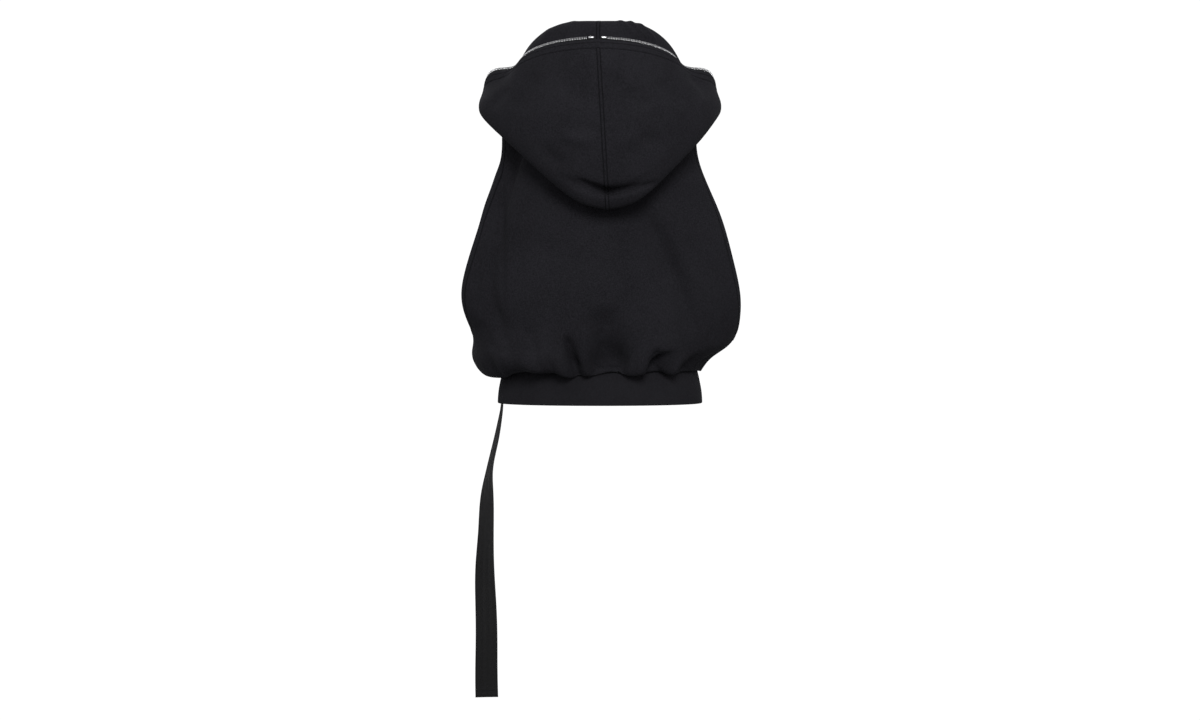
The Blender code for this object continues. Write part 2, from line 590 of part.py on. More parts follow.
def zip_path(side, front, band, hem):
    """The zipped edge, from the hem up the front and along the hood to its centre seam. Each row
    holds a point of the edge, the direction into the cloth, the direction out of the cloth's
    face, half the cloth's thickness there and how far under it the tape can reach."""
    edges, outs, halves = [], [], []
    for (grid, normal), column, half, start in (
        (hem, -1 if side == "right" else 0, RIB_CLOTH / 2 + SEAM_GAP, -1),
        (front, 0, CLOTH / 2, -2),
        (band, -1, CLOTH / 2, -1),
    ):
        rows = slice(start, None, -1)
        edges.append(grid[rows, column])
        outs.append(normal[rows, column])
        halves.append(np.full((len(edges[-1]), 1), half))
    edge, out, half = np.vstack(edges), np.vstack(outs), np.vstack(halves)
    # Round the corner at the neck seam, and keep the tape from under the cloth there, where it
    # would cross itself.
    corner = edge[len(edges[0]) + len(edges[1]) - 1]
    length = np.concatenate([[0], np.cumsum(np.linalg.norm(np.diff(edge, axis=0), axis=1))])
    middle = length[len(edges[0]) + len(edges[1]) - 1]
    at = length[np.abs(length - middle) > CORNER_REACH]
    at = np.sort(np.append(at, middle + CORNER_REACH * np.linspace(-0.9, 0.9, CORNER_ROWS)))
    edge, out, half = np.split(through(length, np.hstack([edge, out, half]), at), [3, 6], axis=1)
    away = np.linalg.norm(edge - corner, axis=1, keepdims=True)
    room = 0.3 * np.maximum(away - CORNER_REACH / 3, 0) - 2 * SEAM_GAP
    along = np.gradient(edge, axis=0)
    along /= np.linalg.norm(along, axis=1, keepdims=True)
    out -= along * (along * out).sum(axis=1, keepdims=True)
    out /= np.linalg.norm(out, axis=1, keepdims=True)
    into = np.cross(out, along) * (1 if side == "right" else -1)
    return np.hstack([edge, into, out, half, np.minimum(room, TAPE_UNDER)])


def stretch(path, first, last):
    """The part of a path between two distances from its crown end."""
    step = np.linalg.norm(np.diff(path[:, :3], axis=0), axis=1)
    left = np.concatenate([[0], np.cumsum(step)])
    left = left[-1] - left
    inside = (left < first - 1e-4) & (left > last + 1e-4)
    at = np.concatenate([[min(first, left[0])], left[inside], [last]])
    columns = [np.interp(-at, -left, path[:, k]) for k in range(path.shape[1])]
    return np.stack(columns, axis=1)


def along_edge(name, path, inner, outer, thickness, finish):
    """A flat bar that follows a path, from inner to outer, measured out from the cloth's edge,
    lying at the level of the zip's tape."""
    edge, into, out, half = path[:, :3], path[:, 3:6], path[:, 6:9], path[:, 9:10]
    level = edge - out * (half + TAPE_GAP + TAPE / 2)
    inner = np.broadcast_to(np.reshape(inner, (-1, 1)), half.shape)
    middle = level - into * ((inner + outer) / 2)
    return bar_along(name, middle, into, out, (outer - inner).ravel(), thickness, finish)


def zip_half(side, path, tape, metal):
    """One side's tape, its row of teeth and the stop at the crown."""
    teeth_outer = ZIP_EDGE_X - TEETH_TO_CENTRE
    teeth_inner = teeth_outer - TEETH_WIDTH
    whole = np.linalg.norm(np.diff(path[:, :3], axis=0), axis=1).sum()
    taped = stretch(path, whole, CROWN_TAPE_END)
    along_edge(f"zip_tape_{side}", taped, -taped[:, 10], teeth_inner - SEAM_GAP, TAPE, tape)
    toothed = stretch(path, whole - BOX_LENGTH - SEAM_GAP, CROWN_STOP[1] + SEAM_GAP)
    along_edge(f"zip_teeth_{side}", toothed, teeth_inner, teeth_outer, TEETH_THICK, metal)
    stopped = stretch(path, CROWN_STOP[1], CROWN_STOP[0])
    along_edge(f"zip_stop_{side}", stopped, teeth_inner, teeth_outer + 0.0006, 0.0034, metal)


def bar_along(name, centre, across, thick_way, widths, thickness, finish):
    """A closed bar of rectangular section carried along a line of points."""
    mesh = bmesh.new()
    widths = np.broadcast_to(widths, len(centre))
    rings = []
    for middle, side, up, width in zip(centre, across, thick_way, widths):
        corners = [(-1, -1), (1, -1), (1, 1), (-1, 1)]
        ring = [
            mesh.verts.new(middle + side * (a * width / 2) + up * (b * thickness / 2))
            for a, b in corners
        ]
        rings.append(ring)
    for first, second in zip(rings, rings[1:]):
        for k in range(4):
            mesh.faces.new((first[k], first[(k + 1) % 4], second[(k + 1) % 4], second[k]))
    mesh.faces.new(rings[0][::-1])
    mesh.faces.new(rings[-1])
    return finish_solid(name, mesh, finish)


def box(mesh, low, high):
    """Adds a box to a bmesh."""
    middle, size = (Vector(low) + Vector(high)) / 2, Vector(high) - Vector(low)
    place = Matrix.Translation(middle) @ Matrix.Diagonal((*size, 1))
    bmesh.ops.create_cube(mesh, size=1, matrix=place)


def fuse(name, boxes, finish):
    """One solid from boxes (low corner, high corner) that touch or overlap."""
    made = None
    for low, high in boxes:
        mesh = bmesh.new()
        box(mesh, low, high)
        block = finish_solid(name, mesh, finish)
        if made is None:
            made = block
            continue
        join = made.modifiers.new("join", "BOOLEAN")
        join.operation = "UNION"
        join.solver = "EXACT"
        join.object = block
        graph = bpy.context.evaluated_depsgraph_get()
        joined = bpy.data.meshes.new_from_object(made.evaluated_get(graph))
        made.modifiers.clear()
        made.data = joined
        bpy.data.objects.remove(block)
    made.name = name
    return made


def zip_place(left_path, right_path, height):
    """The middle of the closed zip at a height, and how far it leans out towards its foot."""
    points = []
    for path in (left_path, right_path):
        front = path[(path[:, 1] > 0) & (np.abs(path[:, 0]) < 0.05)]
        order = np.argsort(front[:, 2])
        level = front[:, :3] - front[:, 6:9] * (front[:, 9:10] + TAPE_GAP + TAPE / 2)
        ends = (height - 0.006, height + 0.006)
        points.append([np.interp(end, front[order, 2], level[order, 1]) for end in ends])
    low, high = np.mean(points, axis=0)
    lean = math.atan2(low - high, 0.012)
    return Vector((0, (low + high) / 2, height)), lean


def slider_and_pull(place, lean, metal):
    """The slider in its own frame (X across, Y out of the cloth, Z up the zip), then its pull."""
    half_gap, plate = SLIDER_GAP / 2, SLIDER_PLATE
    half_width, half_length = SLIDER_WIDTH / 2, SLIDER_LENGTH / 2
    outer = half_gap + plate
    post_low, post_high = half_length - 0.0036, half_length - 0.0004
    arch = ARCH_LENGTH / 2
    boxes = [
        ((-half_width, half_gap, -half_length), (half_width, outer, half_length)),
        ((-half_width, -outer, -half_length), (half_width, -half_gap, half_length)),
        ((-0.0007, -half_gap - 0.0004, post_low), (0.0007, half_gap + 0.0004, post_high)),
        ((-ARCH_WIDTH / 2, outer - 0.0003, -arch), (ARCH_WIDTH / 2, outer + ARCH_HEIGHT, -arch + 0.0014)),
        ((-ARCH_WIDTH / 2, outer - 0.0003, arch - 0.0014), (ARCH_WIDTH / 2, outer + ARCH_HEIGHT, arch)),
        (
            (-ARCH_WIDTH / 2, outer + ARCH_HEIGHT - 0.0013, -arch),
            (ARCH_WIDTH / 2, outer + ARCH_HEIGHT, arch),
        ),
    ]
    slider = fuse("zip_slider", boxes, metal)
    slider.location = place
    slider.rotation_euler = (lean, 0, 0)
    pin = Vector((0, outer + (ARCH_HEIGHT - 0.0013) / 2, -arch + 0.0014 + PULL_PIN + 0.0005))
    turn = Matrix.Rotation(lean, 3, "X")
    side_bar = PULL_EYE_WIDTH / 2 - 0.0014
    thick = PULL_THICK / 2
    pull = fuse(
        "zip_pull",
        [
            ((-PULL_EYE_WIDTH / 2, -PULL_PIN, -PULL_PIN), (PULL_EYE_WIDTH / 2, PULL_PIN, PULL_PIN)),
            ((-PULL_EYE_WIDTH / 2, -thick, -PULL_EYE_LENGTH), (-side_bar, thick, 0)),
            ((side_bar, -thick, -PULL_EYE_LENGTH), (PULL_EYE_WIDTH / 2, thick, 0)),
            (
                (-PULL_TAB_WIDTH / 2, -thick, -PULL_TAB_LENGTH),
                (PULL_TAB_WIDTH / 2, thick, -PULL_EYE_LENGTH + 0.0018),
            ),
        ],
        metal,
    )
    pull.location = Vector(place) + turn @ pin
    pull.rotation_euler = (lean - math.radians(PULL_TILT), 0, 0)


def zip_box(paths, metal):
    bottom = paths[0][0, 2]
    place, lean = zip_place(*paths, bottom + 0.006)
    half = (TEETH_TO_CENTRE + TEETH_WIDTH, BOX_THICK / 2)
    low = Vector((-half[0], -half[1], bottom - place[2]))
    high = Vector((half[0], half[1], bottom - place[2] + BOX_LENGTH))
    made = fuse("zip_box", [(low, high)], metal)
    made.location = place
    made.rotation_euler = (lean, 0, 0)


def strap(finish):
    """The flat strap: a grid of rows down its length, turned little by little."""
    at, x, turn = np.array(STRAP).T
    rows = np.linspace(at[0], at[-1], STRAP_ROWS)
    x, turn = through(-at, np.stack([x, turn], axis=1), -rows).T
    across = np.linspace(-0.5, 0.5, STRAP_COLUMNS_COUNT) * STRAP_WIDTH
    turn = np.radians(turn)[:, None]
    points = [x[:, None] + np.sin(turn) * across, STRAP_Y + np.cos(turn) * across]
    grid = np.stack([*points, rows[:, None] + 0 * across], axis=-1)
    wall("strap", grid, grid_normals(grid, 1), STRAP_THICK, finish)


def main():
    for old in list(bpy.data.objects):
        bpy.data.objects.remove(old)
    fleece = material("black_fleece", BLACK_FLEECE, 0.92)
    rib = material("black_rib", BLACK_RIB, 0.9)
    tape = material("black_zip_tape", BLACK_TAPE, 0.8)
    webbing = material("black_webbing", BLACK_WEBBING, 0.75)
    nickel = material("nickel", NICKEL, 0.28, 1.0)
    hem = hem_grid()
    wall("back", *back_grid(), CLOTH, fleece)
    wall("hem_rib", *hem, RIB_CLOTH, rib)
    paths = []
    for side in ("left", "right"):
        front = front_grid(side)
        panel, band = hood_grids(side)
        wall(f"front_{side}", *front, CLOTH, fleece)
        wall(f"hood_{side}", *panel, CLOTH, fleece)
        wall(f"hood_band_{side}", *band, CLOTH, fleece)
        paths.append(zip_path(side, front, band, hem))
        zip_half(side, paths[-1], tape, nickel)
    height = float(body(90.0, SLIDER_STATION)[2])
    slider_and_pull(*zip_place(*paths, height), nickel)
    zip_box(paths, nickel)
    strap(webbing)


if __name__ == "__main__":
    main()
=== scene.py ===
"""Sleeveless hoodie, worn with no wearer: the surfaces that show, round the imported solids.

Metres, +Z up. The back faces -Y, the zip faces +Y and the wearer's right is +X. The origin is the
middle of the neck base. The body is one closed surface with an angle (0 at the right side, 90 at
the zip, 180 at the left side, -90 at the back) and a station that runs down the rows of BODY. The
hood is a fan of profiles, one for each angle round the neck from mid back. Every cloth piece is a
grid of points on its middle layer, with normals and a thickness for each point.
"""

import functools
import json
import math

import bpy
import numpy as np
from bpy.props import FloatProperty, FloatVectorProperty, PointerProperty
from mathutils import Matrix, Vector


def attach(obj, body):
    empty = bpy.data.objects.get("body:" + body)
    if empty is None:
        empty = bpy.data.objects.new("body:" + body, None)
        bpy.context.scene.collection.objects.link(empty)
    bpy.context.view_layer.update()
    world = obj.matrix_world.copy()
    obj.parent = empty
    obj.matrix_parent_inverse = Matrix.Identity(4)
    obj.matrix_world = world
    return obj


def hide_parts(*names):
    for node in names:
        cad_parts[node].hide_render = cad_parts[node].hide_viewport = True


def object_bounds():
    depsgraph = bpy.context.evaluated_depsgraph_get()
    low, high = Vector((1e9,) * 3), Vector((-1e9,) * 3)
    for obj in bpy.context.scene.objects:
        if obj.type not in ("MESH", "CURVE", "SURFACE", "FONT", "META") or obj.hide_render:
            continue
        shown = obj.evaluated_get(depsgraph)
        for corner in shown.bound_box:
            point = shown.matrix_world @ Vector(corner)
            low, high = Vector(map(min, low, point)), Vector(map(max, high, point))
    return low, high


bl_info = {
    "name": "Sleeveless hoodie",
    "version": (1, 0, 0),
    "blender": (4, 5, 0),
    "location": "3D view > Sidebar > Hoodie",
    "description": "Fleece panels, rib hem, metal zip, stitching and strap of a sleeveless hoodie",
    "category": "Object",
}

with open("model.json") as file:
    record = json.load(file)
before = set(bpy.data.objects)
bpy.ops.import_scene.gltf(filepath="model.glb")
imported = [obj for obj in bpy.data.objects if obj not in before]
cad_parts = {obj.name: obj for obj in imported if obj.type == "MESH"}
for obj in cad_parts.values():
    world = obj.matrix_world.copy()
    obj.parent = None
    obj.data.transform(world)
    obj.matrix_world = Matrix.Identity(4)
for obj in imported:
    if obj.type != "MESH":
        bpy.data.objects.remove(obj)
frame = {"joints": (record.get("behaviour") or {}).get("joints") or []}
SOLIDS_BOX = [list(corner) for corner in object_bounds()]
PULL_PIN_PLACE = frame["joints"][0]["pos_m"]

# ---------------------------------------------------------------- driving sizes of the cut

CLOTH = 0.0020  # heavy brushed fleece
RIB_CLOTH = 0.0030  # rib knit, folded double
SEAM_GAP = 0.0003
NECK_SEAM_LIFT = 0.0014  # the hood starts this far up its own slope

# One row for each ring of the body, from the neck seam down over the blouse to the waist seam.
# left, right: half widths; back, front, zip: depths at mid back, mid front and along the zip;
# the heights of those places follow. Down the arm openings the widths are the cloth's edges.
BODY_COLUMNS = "left right back front zip side_z back_z front_z zip_z square"
BODY = [
    # left   right  back   front  zip    side_z  back_z  front_z zip_z   square
    (0.0780, 0.0780, 0.062, 0.080, 0.080, 0.000, 0.022, -0.062, -0.062, 2.0),
    (0.1220, 0.1220, 0.090, 0.098, 0.098, -0.017, -0.022, -0.100, -0.100, 2.0),
    (0.1640, 0.1620, 0.113, 0.112, 0.112, -0.042, -0.074, -0.140, -0.140, 2.1),
    (0.1694, 0.1660, 0.124, 0.119, 0.119, -0.110, -0.124, -0.178, -0.178, 2.2),
    (0.1860, 0.1820, 0.131, 0.125, 0.125, -0.175, -0.181, -0.218, -0.218, 2.2),
    (0.2054, 0.2054, 0.136, 0.130, 0.130, -0.235, -0.238, -0.264, -0.264, 2.2),
    (0.2255, 0.2235, 0.140, 0.135, 0.134, -0.300, -0.301, -0.315, -0.314, 2.2),
    (0.2385, 0.2370, 0.143, 0.140, 0.138, -0.360, -0.360, -0.366, -0.358, 2.2),
    (0.2320, 0.2400, 0.147, 0.146, 0.141, -0.405, -0.405, -0.409, -0.394, 2.2),
    (0.2190, 0.2320, 0.151, 0.151, 0.142, -0.445, -0.446, -0.448, -0.424, 2.2),
    (0.2150, 0.1990, 0.152, 0.154, 0.139, -0.481, -0.482, -0.483, -0.449, 2.2),
    (0.1980, 0.1800, 0.145, 0.148, 0.132, -0.507, -0.508, -0.508, -0.470, 2.2),
    (0.1810, 0.1750, 0.130, 0.132, 0.1215, -0.506, -0.506, -0.506, -0.483, 2.2),
    (0.1693, 0.1693, 0.1193, 0.1193, 0.1193, -0.4915, -0.4915, -0.4915, -0.4915, 2.2),
]
LAST_STATION = len(BODY) - 1
ZIP_PULL_IN = 14.0  # degrees round the front over which the zip holds the blouse in

# Arm openings, in stations of BODY, and how far round they reach from the side, in degrees.
ARM_TOP = 2.0
ARM_BOTTOM = {"left": 8.45, "right": 8.75}
ARM_HALF_ANGLE = {"back": 24.0, "front": 28.0}

# Gathers where the blouse is sewn to the narrower rib: angle and half width in degrees, how deep
# the cloth is pinched in, and how far up the pinch reaches.
GATHERS = [
    (-138.0, 9.0, -0.008, 0.050),
    (-122.0, 8.0, -0.008, 0.050),
    (-101.0, 3.2, 0.025, 0.085),
    (-86.0, 8.0, 0.031, 0.095),
    (-69.0, 4.0, -0.006, 0.040),
    (-60.0, 4.5, 0.036, 0.042),
    (-48.0, 3.0, -0.005, 0.035),
    (-36.0, 6.0, 0.012, 0.036),
    (-150.0, 5.0, 0.010, 0.045),
    (-14.0, 6.0, 0.012, 0.045),
    (12.0, 6.0, 0.014, 0.050),
    (38.0, 7.0, 0.020, 0.070),
    (57.0, 5.0, 0.024, 0.080),
    (71.0, 4.0, 0.014, 0.055),
    (108.0, 4.5, 0.016, 0.060),
    (124.0, 6.0, 0.026, 0.075),
    (145.0, 7.0, 0.018, 0.055),
    (168.0, 6.0, 0.012, 0.045),
]
# The scalloped lower edge of the blouse: angle, and how far it is lifted there. Between these
# places the edge runs in smooth steps, and the lift fades out at a height of LIFT_REACH.
EDGE_LIFT = [
    (-180.0, 0.000), (-156.0, 0.000), (-130.0, 0.016), (-121.0, 0.012), (-114.0, 0.0140),
    (-104.0, 0.003), (-100.0, 0.008), (-94.5, 0.006), (-84.0, 0.0175), (-73.5, 0.0065),
    (-57.5, 0.0210), (-49.0, 0.0080), (-34.0, 0.0180), (-17.0, 0.0165), (-2.0, 0.0130),
    (12.0, 0.0150), (24.0, 0.0060), (38.0, 0.0150), (47.5, 0.0060), (57.0, 0.0190),
    (65.0, 0.0070), (74.0, 0.0120), (90.0, 0.0060), (106.0, 0.0120), (114.0, 0.0060),
    (124.0, 0.0200), (135.0, 0.0050), (145.0, 0.0130), (157.0, 0.0030), (168.0, 0.0060),
    (180.0, 0.000),
]
LIFT_REACH = 0.062
# Smaller puckers between the gathers, in the same columns.
PUCKERS = [
    (-140.0, 2.2, 0.004, 0.030),
    (-117.0, 2.0, 0.004, 0.034),
    (-111.0, 1.5, 0.003, 0.026),
    (-92.0, 1.8, 0.005, 0.050),
    (-79.0, 1.6, 0.004, 0.050),
    (-73.0, 1.5, 0.005, 0.036),
    (-65.0, 1.4, 0.004, 0.034),
    (-51.0, 1.6, 0.004, 0.028),
    (-44.5, 2.0, 0.004, 0.030),
    (-25.0, 1.8, 0.004, 0.026),
    (-6.0, 2.2, 0.005, 0.030),
    (3.0, 1.8, 0.004, 0.026),
    (21.0, 2.0, 0.005, 0.032),
    (29.0, 1.8, 0.005, 0.034),
    (46.0, 1.6, 0.006, 0.040),
    (64.0, 1.5, 0.005, 0.036),
    (77.0, 1.3, 0.004, 0.028),
    (103.0, 1.4, 0.004, 0.028),
    (115.5, 1.6, 0.006, 0.038),
    (133.0, 1.8, 0.006, 0.036),
    (152.5, 2.0, 0.005, 0.030),
    (160.0, 1.8, 0.004, 0.026),
    (176.0, 2.0, 0.005, 0.026),
]
BLOUSE_STATION = 11.0  # the lowest ring
HEM_CLEARANCE = 0.0045  # the overhang keeps this far out from the waist seam's ring

# Broad soft folds: angle_top station_top angle_low station_low half_width depth, where a depth
# above 0 is a trough.
BODY_FOLDS = [
    (-146.0, 2.2, -140.0, 8.4, 8.0, 0.018),
    (-77.0, 4.2, -44.0, 9.6, 9.0, 0.013),
    (-92.0, 4.6, -96.0, 10.2, 16.0, -0.006),
    (-30.0, 3.4, -22.0, 8.6, 8.0, -0.004),
    (62.0, 1.6, 44.0, 8.8, 12.0, 0.009),
    (118.0, 1.8, 137.0, 8.8, 12.0, 0.009),
]
SIDE_BULGE = {"angle": 168.0, "half_width": 12.0, "station": 10.2, "half_length": 1.2, "out": 0.014}

# Rib hem.
HEM_TOP_Z = -0.4918
HEM_BOTTOM_Z = -0.5560
HEM_TOP = (0.1665, 0.1165)  # half width, half depth
HEM_BOTTOM = (0.1775, 0.1255)
HEM_SQUARE = 2.2

# Zip.
ZIP_EDGE_X = 0.0070  # the fronts' edges, either side of the closed zip
ZIP_V_STATION = 1.9  # above this station the fronts part
ZIP_V_X = 0.0360
ZIP_V_CURVE = 1.7
TAPE = 0.0008
TAPE_GAP = 0.0005
TAPE_UNDER = 0.0075  # how far the tape reaches under the cloth
CORNER_REACH = 0.030  # how far the zip's corner at the neck seam is rounded, each way
CORNER_ROWS = 25
TEETH_WIDTH = 0.0028
TEETH_TO_CENTRE = 0.0003
TEETH_INNER = ZIP_EDGE_X - TEETH_TO_CENTRE - TEETH_WIDTH
CROWN_STOP = (0.0060, 0.0155)  # a stop's two ends, from the hood's centre seam
CROWN_TAPE_END = 0.0030
BOX_LENGTH = 0.0085  # the box that joins the two rows of teeth at the hem
BOX_THICK = 0.0036
SLIDER_STATION = 1.75
SLIDER_GAP = 0.0036  # between its two plates
SLIDER_PLATE = 0.0012
SLIDER_WIDTH = 0.0095
SLIDER_LENGTH = 0.0130
PULL_LEAN = 5.0  # degrees that the pull tab leans in towards the zip

# Hood. One row for each angle round the neck from mid back (0) over the side (90) to the front.
# Each profile is a smooth curve drawn towards these points (rise, roll_in, roll_out, inner,
# low_in, low_out, belly, upper), as distance out from the neck's axis and height, and it ends on
# the zipped edge.
HOOD_STATIONS = [0.0, 12.0, 30.0, 50.0, 66.0, 90.0, 115.0, 132.0, 142.0, 147.0]
HOOD_OUT = [
    (0.064, 0.068, 0.096, 0.112, 0.150, 0.190, 0.204, 0.188),
    (0.065, 0.069, 0.098, 0.114, 0.152, 0.192, 0.206, 0.188),
    (0.067, 0.074, 0.105, 0.123, 0.164, 0.201, 0.211, 0.189),
    (0.074, 0.084, 0.117, 0.134, 0.176, 0.209, 0.215, 0.192),
    (0.083, 0.095, 0.125, 0.141, 0.185, 0.212, 0.215, 0.196),
    (0.090, 0.102, 0.128, 0.146, 0.184, 0.206, 0.209, 0.202),
    (0.090, 0.098, 0.118, 0.132, 0.152, 0.169, 0.175, 0.176),
    (0.086, 0.090, 0.097, 0.104, 0.111, 0.118, 0.124, 0.128),
    (0.0805, 0.0825, 0.0845, 0.0865, 0.0885, 0.0905, 0.0925, 0.0945),
    (0.0800, 0.0804, 0.0808, 0.0812, 0.0816, 0.0820, 0.0824, 0.0828),
]
HOOD_UP = [
    (0.066, 0.103, 0.101, 0.020, -0.229, -0.234, -0.090, 0.012),
    (0.065, 0.104, 0.101, 0.018, -0.217, -0.222, -0.084, 0.010),
    (0.062, 0.104, 0.099, 0.014, -0.160, -0.168, -0.066, 0.006),
    (0.050, 0.096, 0.090, 0.018, -0.101, -0.111, -0.046, -0.006),
    (0.036, 0.082, 0.077, 0.021, -0.068, -0.078, -0.034, -0.014),
    (0.026, 0.062, 0.058, 0.024, -0.044, -0.056, -0.030, -0.014),
    (0.008, 0.036, 0.034, 0.012, -0.038, -0.050, -0.032, -0.012),
    (-0.022, -0.010, -0.006, -0.012, -0.022, -0.028, -0.026, -0.018),
    (-0.0385, -0.0365, -0.0345, -0.0325, -0.0300, -0.0275, -0.0252, -0.0228),
    (-0.0425, -0.0418, -0.0411, -0.0404, -0.0397, -0.0390, -0.0383, -0.0376),
]
# The zipped edge: angle, then distance out and height. It drops behind the shoulders' inner ends.
HOOD_EDGE = [
    (0.0, 0.166, 0.0590),
    (20.0, 0.168, 0.0535),
    (36.0, 0.170, 0.0425),
    (45.0, 0.170, 0.0325),
    (51.0, 0.171, 0.0225),
    (57.0, 0.176, 0.0175),
    (66.0, 0.186, 0.0165),
    (76.0, 0.195, 0.0130),
    (90.0, 0.200, 0.0020),
    (115.0, 0.174, 0.0010),
    (132.0, 0.130, -0.0080),
    (142.0, 0.0965, -0.0205),
    (147.0, 0.0832, -0.0370),
]
HOOD_LEAN_X = -0.004  # the centre seam starts left of the middle at the zip
HOOD_LEAN = 0.058  # and leans to the right as it goes down, in metres for each metre
HOOD_LEAN_FROM_Z = 0.060
HOOD_BAND = 0.0165  # the strip that carries the zip, between seam and zip
HOOD_CREASE = {"above_fold": 0.029, "half_width": 0.008, "depth": 0.013, "reach": 12.0}
TURN_WEIGHT = 0.06  # metres of length that one radian of turning counts for, when rows are spaced

# Strap: height, sideways place and the turn of its width from front-to-back to side-to-side.
STRAP_WIDTH = 0.040
STRAP_Y = 0.0
STRAP_THICK = 0.0013
STRAP_WAVE = 0.0022
STRAP_CUP = 0.0016
STRAP_FOLD_EXTRA = 0.75  # share of its thickness that the folded end adds
STRAP = [
    (-0.4985, -0.1636, 0.0),
    (-0.516, -0.1675, 0.0),
    (-0.536, -0.1708, 0.0),
    (-0.560, -0.1724, 2.5),
    (-0.583, -0.1762, 6.0),
    (-0.632, -0.1846, 11.0),
    (-0.681, -0.1934, 16.5),
    (-0.705, -0.1966, 26.0),
    (-0.730, -0.1990, 34.0),
    (-0.780, -0.2012, 40.0),
    (-0.850, -0.2008, 54.0),
    (-0.900, -0.2000, 63.0),
    (-1.000, -0.2000, 73.0),
    (-1.0745, -0.1988, 84.0),
]

# ---------------------------------------------------------------- finer form

# Creases, as seen from behind (side -1) or from the front (side 1): where each starts and ends,
# how far its line bows to the left, its half width and its depth (below 0 for a ridge).
# side x_start z_start x_end z_end bow half_width depth
BACK_CREASES = [
    (-1, -0.1700, -0.090, -0.1640, -0.420, 0.000, 0.006, 0.0050),
    (-1, -0.120, -0.140, -0.140, -0.330, -0.008, 0.020, 0.0022),
    (-1, -0.188, -0.170, -0.198, -0.400, 0.004, 0.008, -0.0030),
    (-1, 0.064, -0.205, 0.168, -0.455, -0.006, 0.012, 0.0030),
    (-1, 0.070, -0.230, 0.120, -0.360, -0.010, 0.014, 0.0020),
    (-1, 0.110, -0.220, 0.192, -0.430, 0.000, 0.014, -0.0060),
    (-1, 0.130, -0.330, 0.184, -0.455, -0.006, 0.009, -0.0018),
    (-1, -0.0575, -0.432, -0.037, -0.500, 0.002, 0.0065, 0.0090),
    (-1, -0.064, -0.385, -0.070, -0.470, 0.003, 0.008, -0.0016),
    (-1, 0.003, -0.380, 0.020, -0.518, 0.000, 0.027, 0.0200),
    (-1, 0.002, -0.420, 0.014, -0.478, 0.001, 0.006, 0.0030),
    (-1, 0.062, -0.395, 0.050, -0.470, -0.003, 0.010, -0.0024),
    (-1, -0.005, -0.250, 0.006, -0.400, 0.010, 0.028, -0.0022),
    (-1, 0.104, -0.455, 0.084, -0.492, 0.002, 0.006, 0.0050),
    (-1, -0.125, -0.420, -0.105, -0.480, -0.002, 0.008, 0.0020),
    (-1, -0.165, -0.430, -0.150, -0.485, -0.002, 0.008, 0.0022),
    (-1, -0.205, -0.400, -0.176, -0.470, 0.004, 0.008, 0.0026),
    (-1, 0.215, -0.400, 0.196, -0.460, -0.004, 0.008, 0.0024),
]
FRONT_CREASES = [
    (1, 0.120, -0.140, 0.150, -0.370, 0.008, 0.016, 0.0036),
    (1, 0.065, -0.190, 0.110, -0.400, 0.010, 0.020, 0.0026),
    (1, 0.170, -0.220, 0.196, -0.400, -0.004, 0.011, -0.0022),
    (1, 0.030, -0.330, 0.070, -0.460, 0.006, 0.010, 0.0026),
    (1, 0.100, -0.390, 0.120, -0.470, 0.002, 0.008, 0.0024),
    (1, 0.015, -0.160, 0.060, -0.235, 0.006, 0.010, 0.0020),
    (1, -0.126, -0.150, -0.150, -0.390, -0.007, 0.015, 0.0038),
    (1, -0.060, -0.170, -0.118, -0.360, -0.012, 0.022, 0.0028),
    (1, -0.176, -0.230, -0.200, -0.410, 0.003, 0.011, -0.0020),
    (1, -0.028, -0.300, -0.056, -0.455, -0.005, 0.011, 0.0024),
    (1, -0.090, -0.400, -0.104, -0.475, -0.002, 0.008, 0.0024),
    (1, -0.150, -0.420, -0.140, -0.480, 0.002, 0.008, 0.0020),
    (1, -0.016, -0.150, -0.052, -0.215, -0.005, 0.009, 0.0018),
]
# On the hood, side 1 is the layer that rolls over at the nape and shows its inner face behind.
HOOD_CREASES = [
    (-1, -0.018, 0.030, -0.034, -0.060, 0.006, 0.008, 0.0052),
    (-1, -0.040, 0.010, -0.052, -0.050, 0.004, 0.009, 0.0040),
    (-1, 0.018, 0.000, 0.052, -0.070, -0.006, 0.010, 0.0048),
    (-1, 0.040, -0.020, 0.090, -0.052, 0.006, 0.013, 0.0048),
    (-1, 0.100, 0.005, 0.150, -0.052, 0.010, 0.016, 0.0044),
    (-1, -0.105, 0.010, -0.150, -0.060, -0.010, 0.018, 0.0037),
    (-1, -0.070, -0.100, -0.004, -0.112, 0.004, 0.01, -0.0058),
    (-1, 0.020, -0.125, 0.080, -0.105, -0.006, 0.014, -0.0041),
    (-1, -0.004, -0.088, -0.022, -0.096, 0.000, 0.004, 0.0027),
    (-1, -0.100, -0.112, -0.050, -0.152, 0.008, 0.012, 0.0051),
    (-1, -0.044, -0.172, 0.032, -0.199, 0.003, 0.0050, 0.0065),
    (-1, -0.004, -0.196, 0.104, -0.176, 0.005, 0.0055, 0.0065),
    (-1, 0.058, -0.112, 0.110, -0.118, -0.006, 0.012, 0.0041),
    (-1, -0.150, -0.018, -0.185, -0.055, 0.003, 0.009, 0.0031),
    (-1, 0.150, 0.010, 0.188, -0.036, -0.003, 0.009, 0.0034),
    (1, 0.026, 0.104, 0.072, 0.062, -0.002, 0.0040, 0.0044),
    (1, 0.042, 0.104, 0.084, 0.064, -0.002, 0.0038, 0.0046),
    (1, 0.058, 0.100, 0.096, 0.064, -0.002, 0.004, 0.0042),
    (1, -0.036, 0.102, -0.066, 0.068, 0.003, 0.006, 0.0024),
    (1, -0.076, 0.092, -0.104, 0.050, 0.003, 0.007, 0.0028),
]

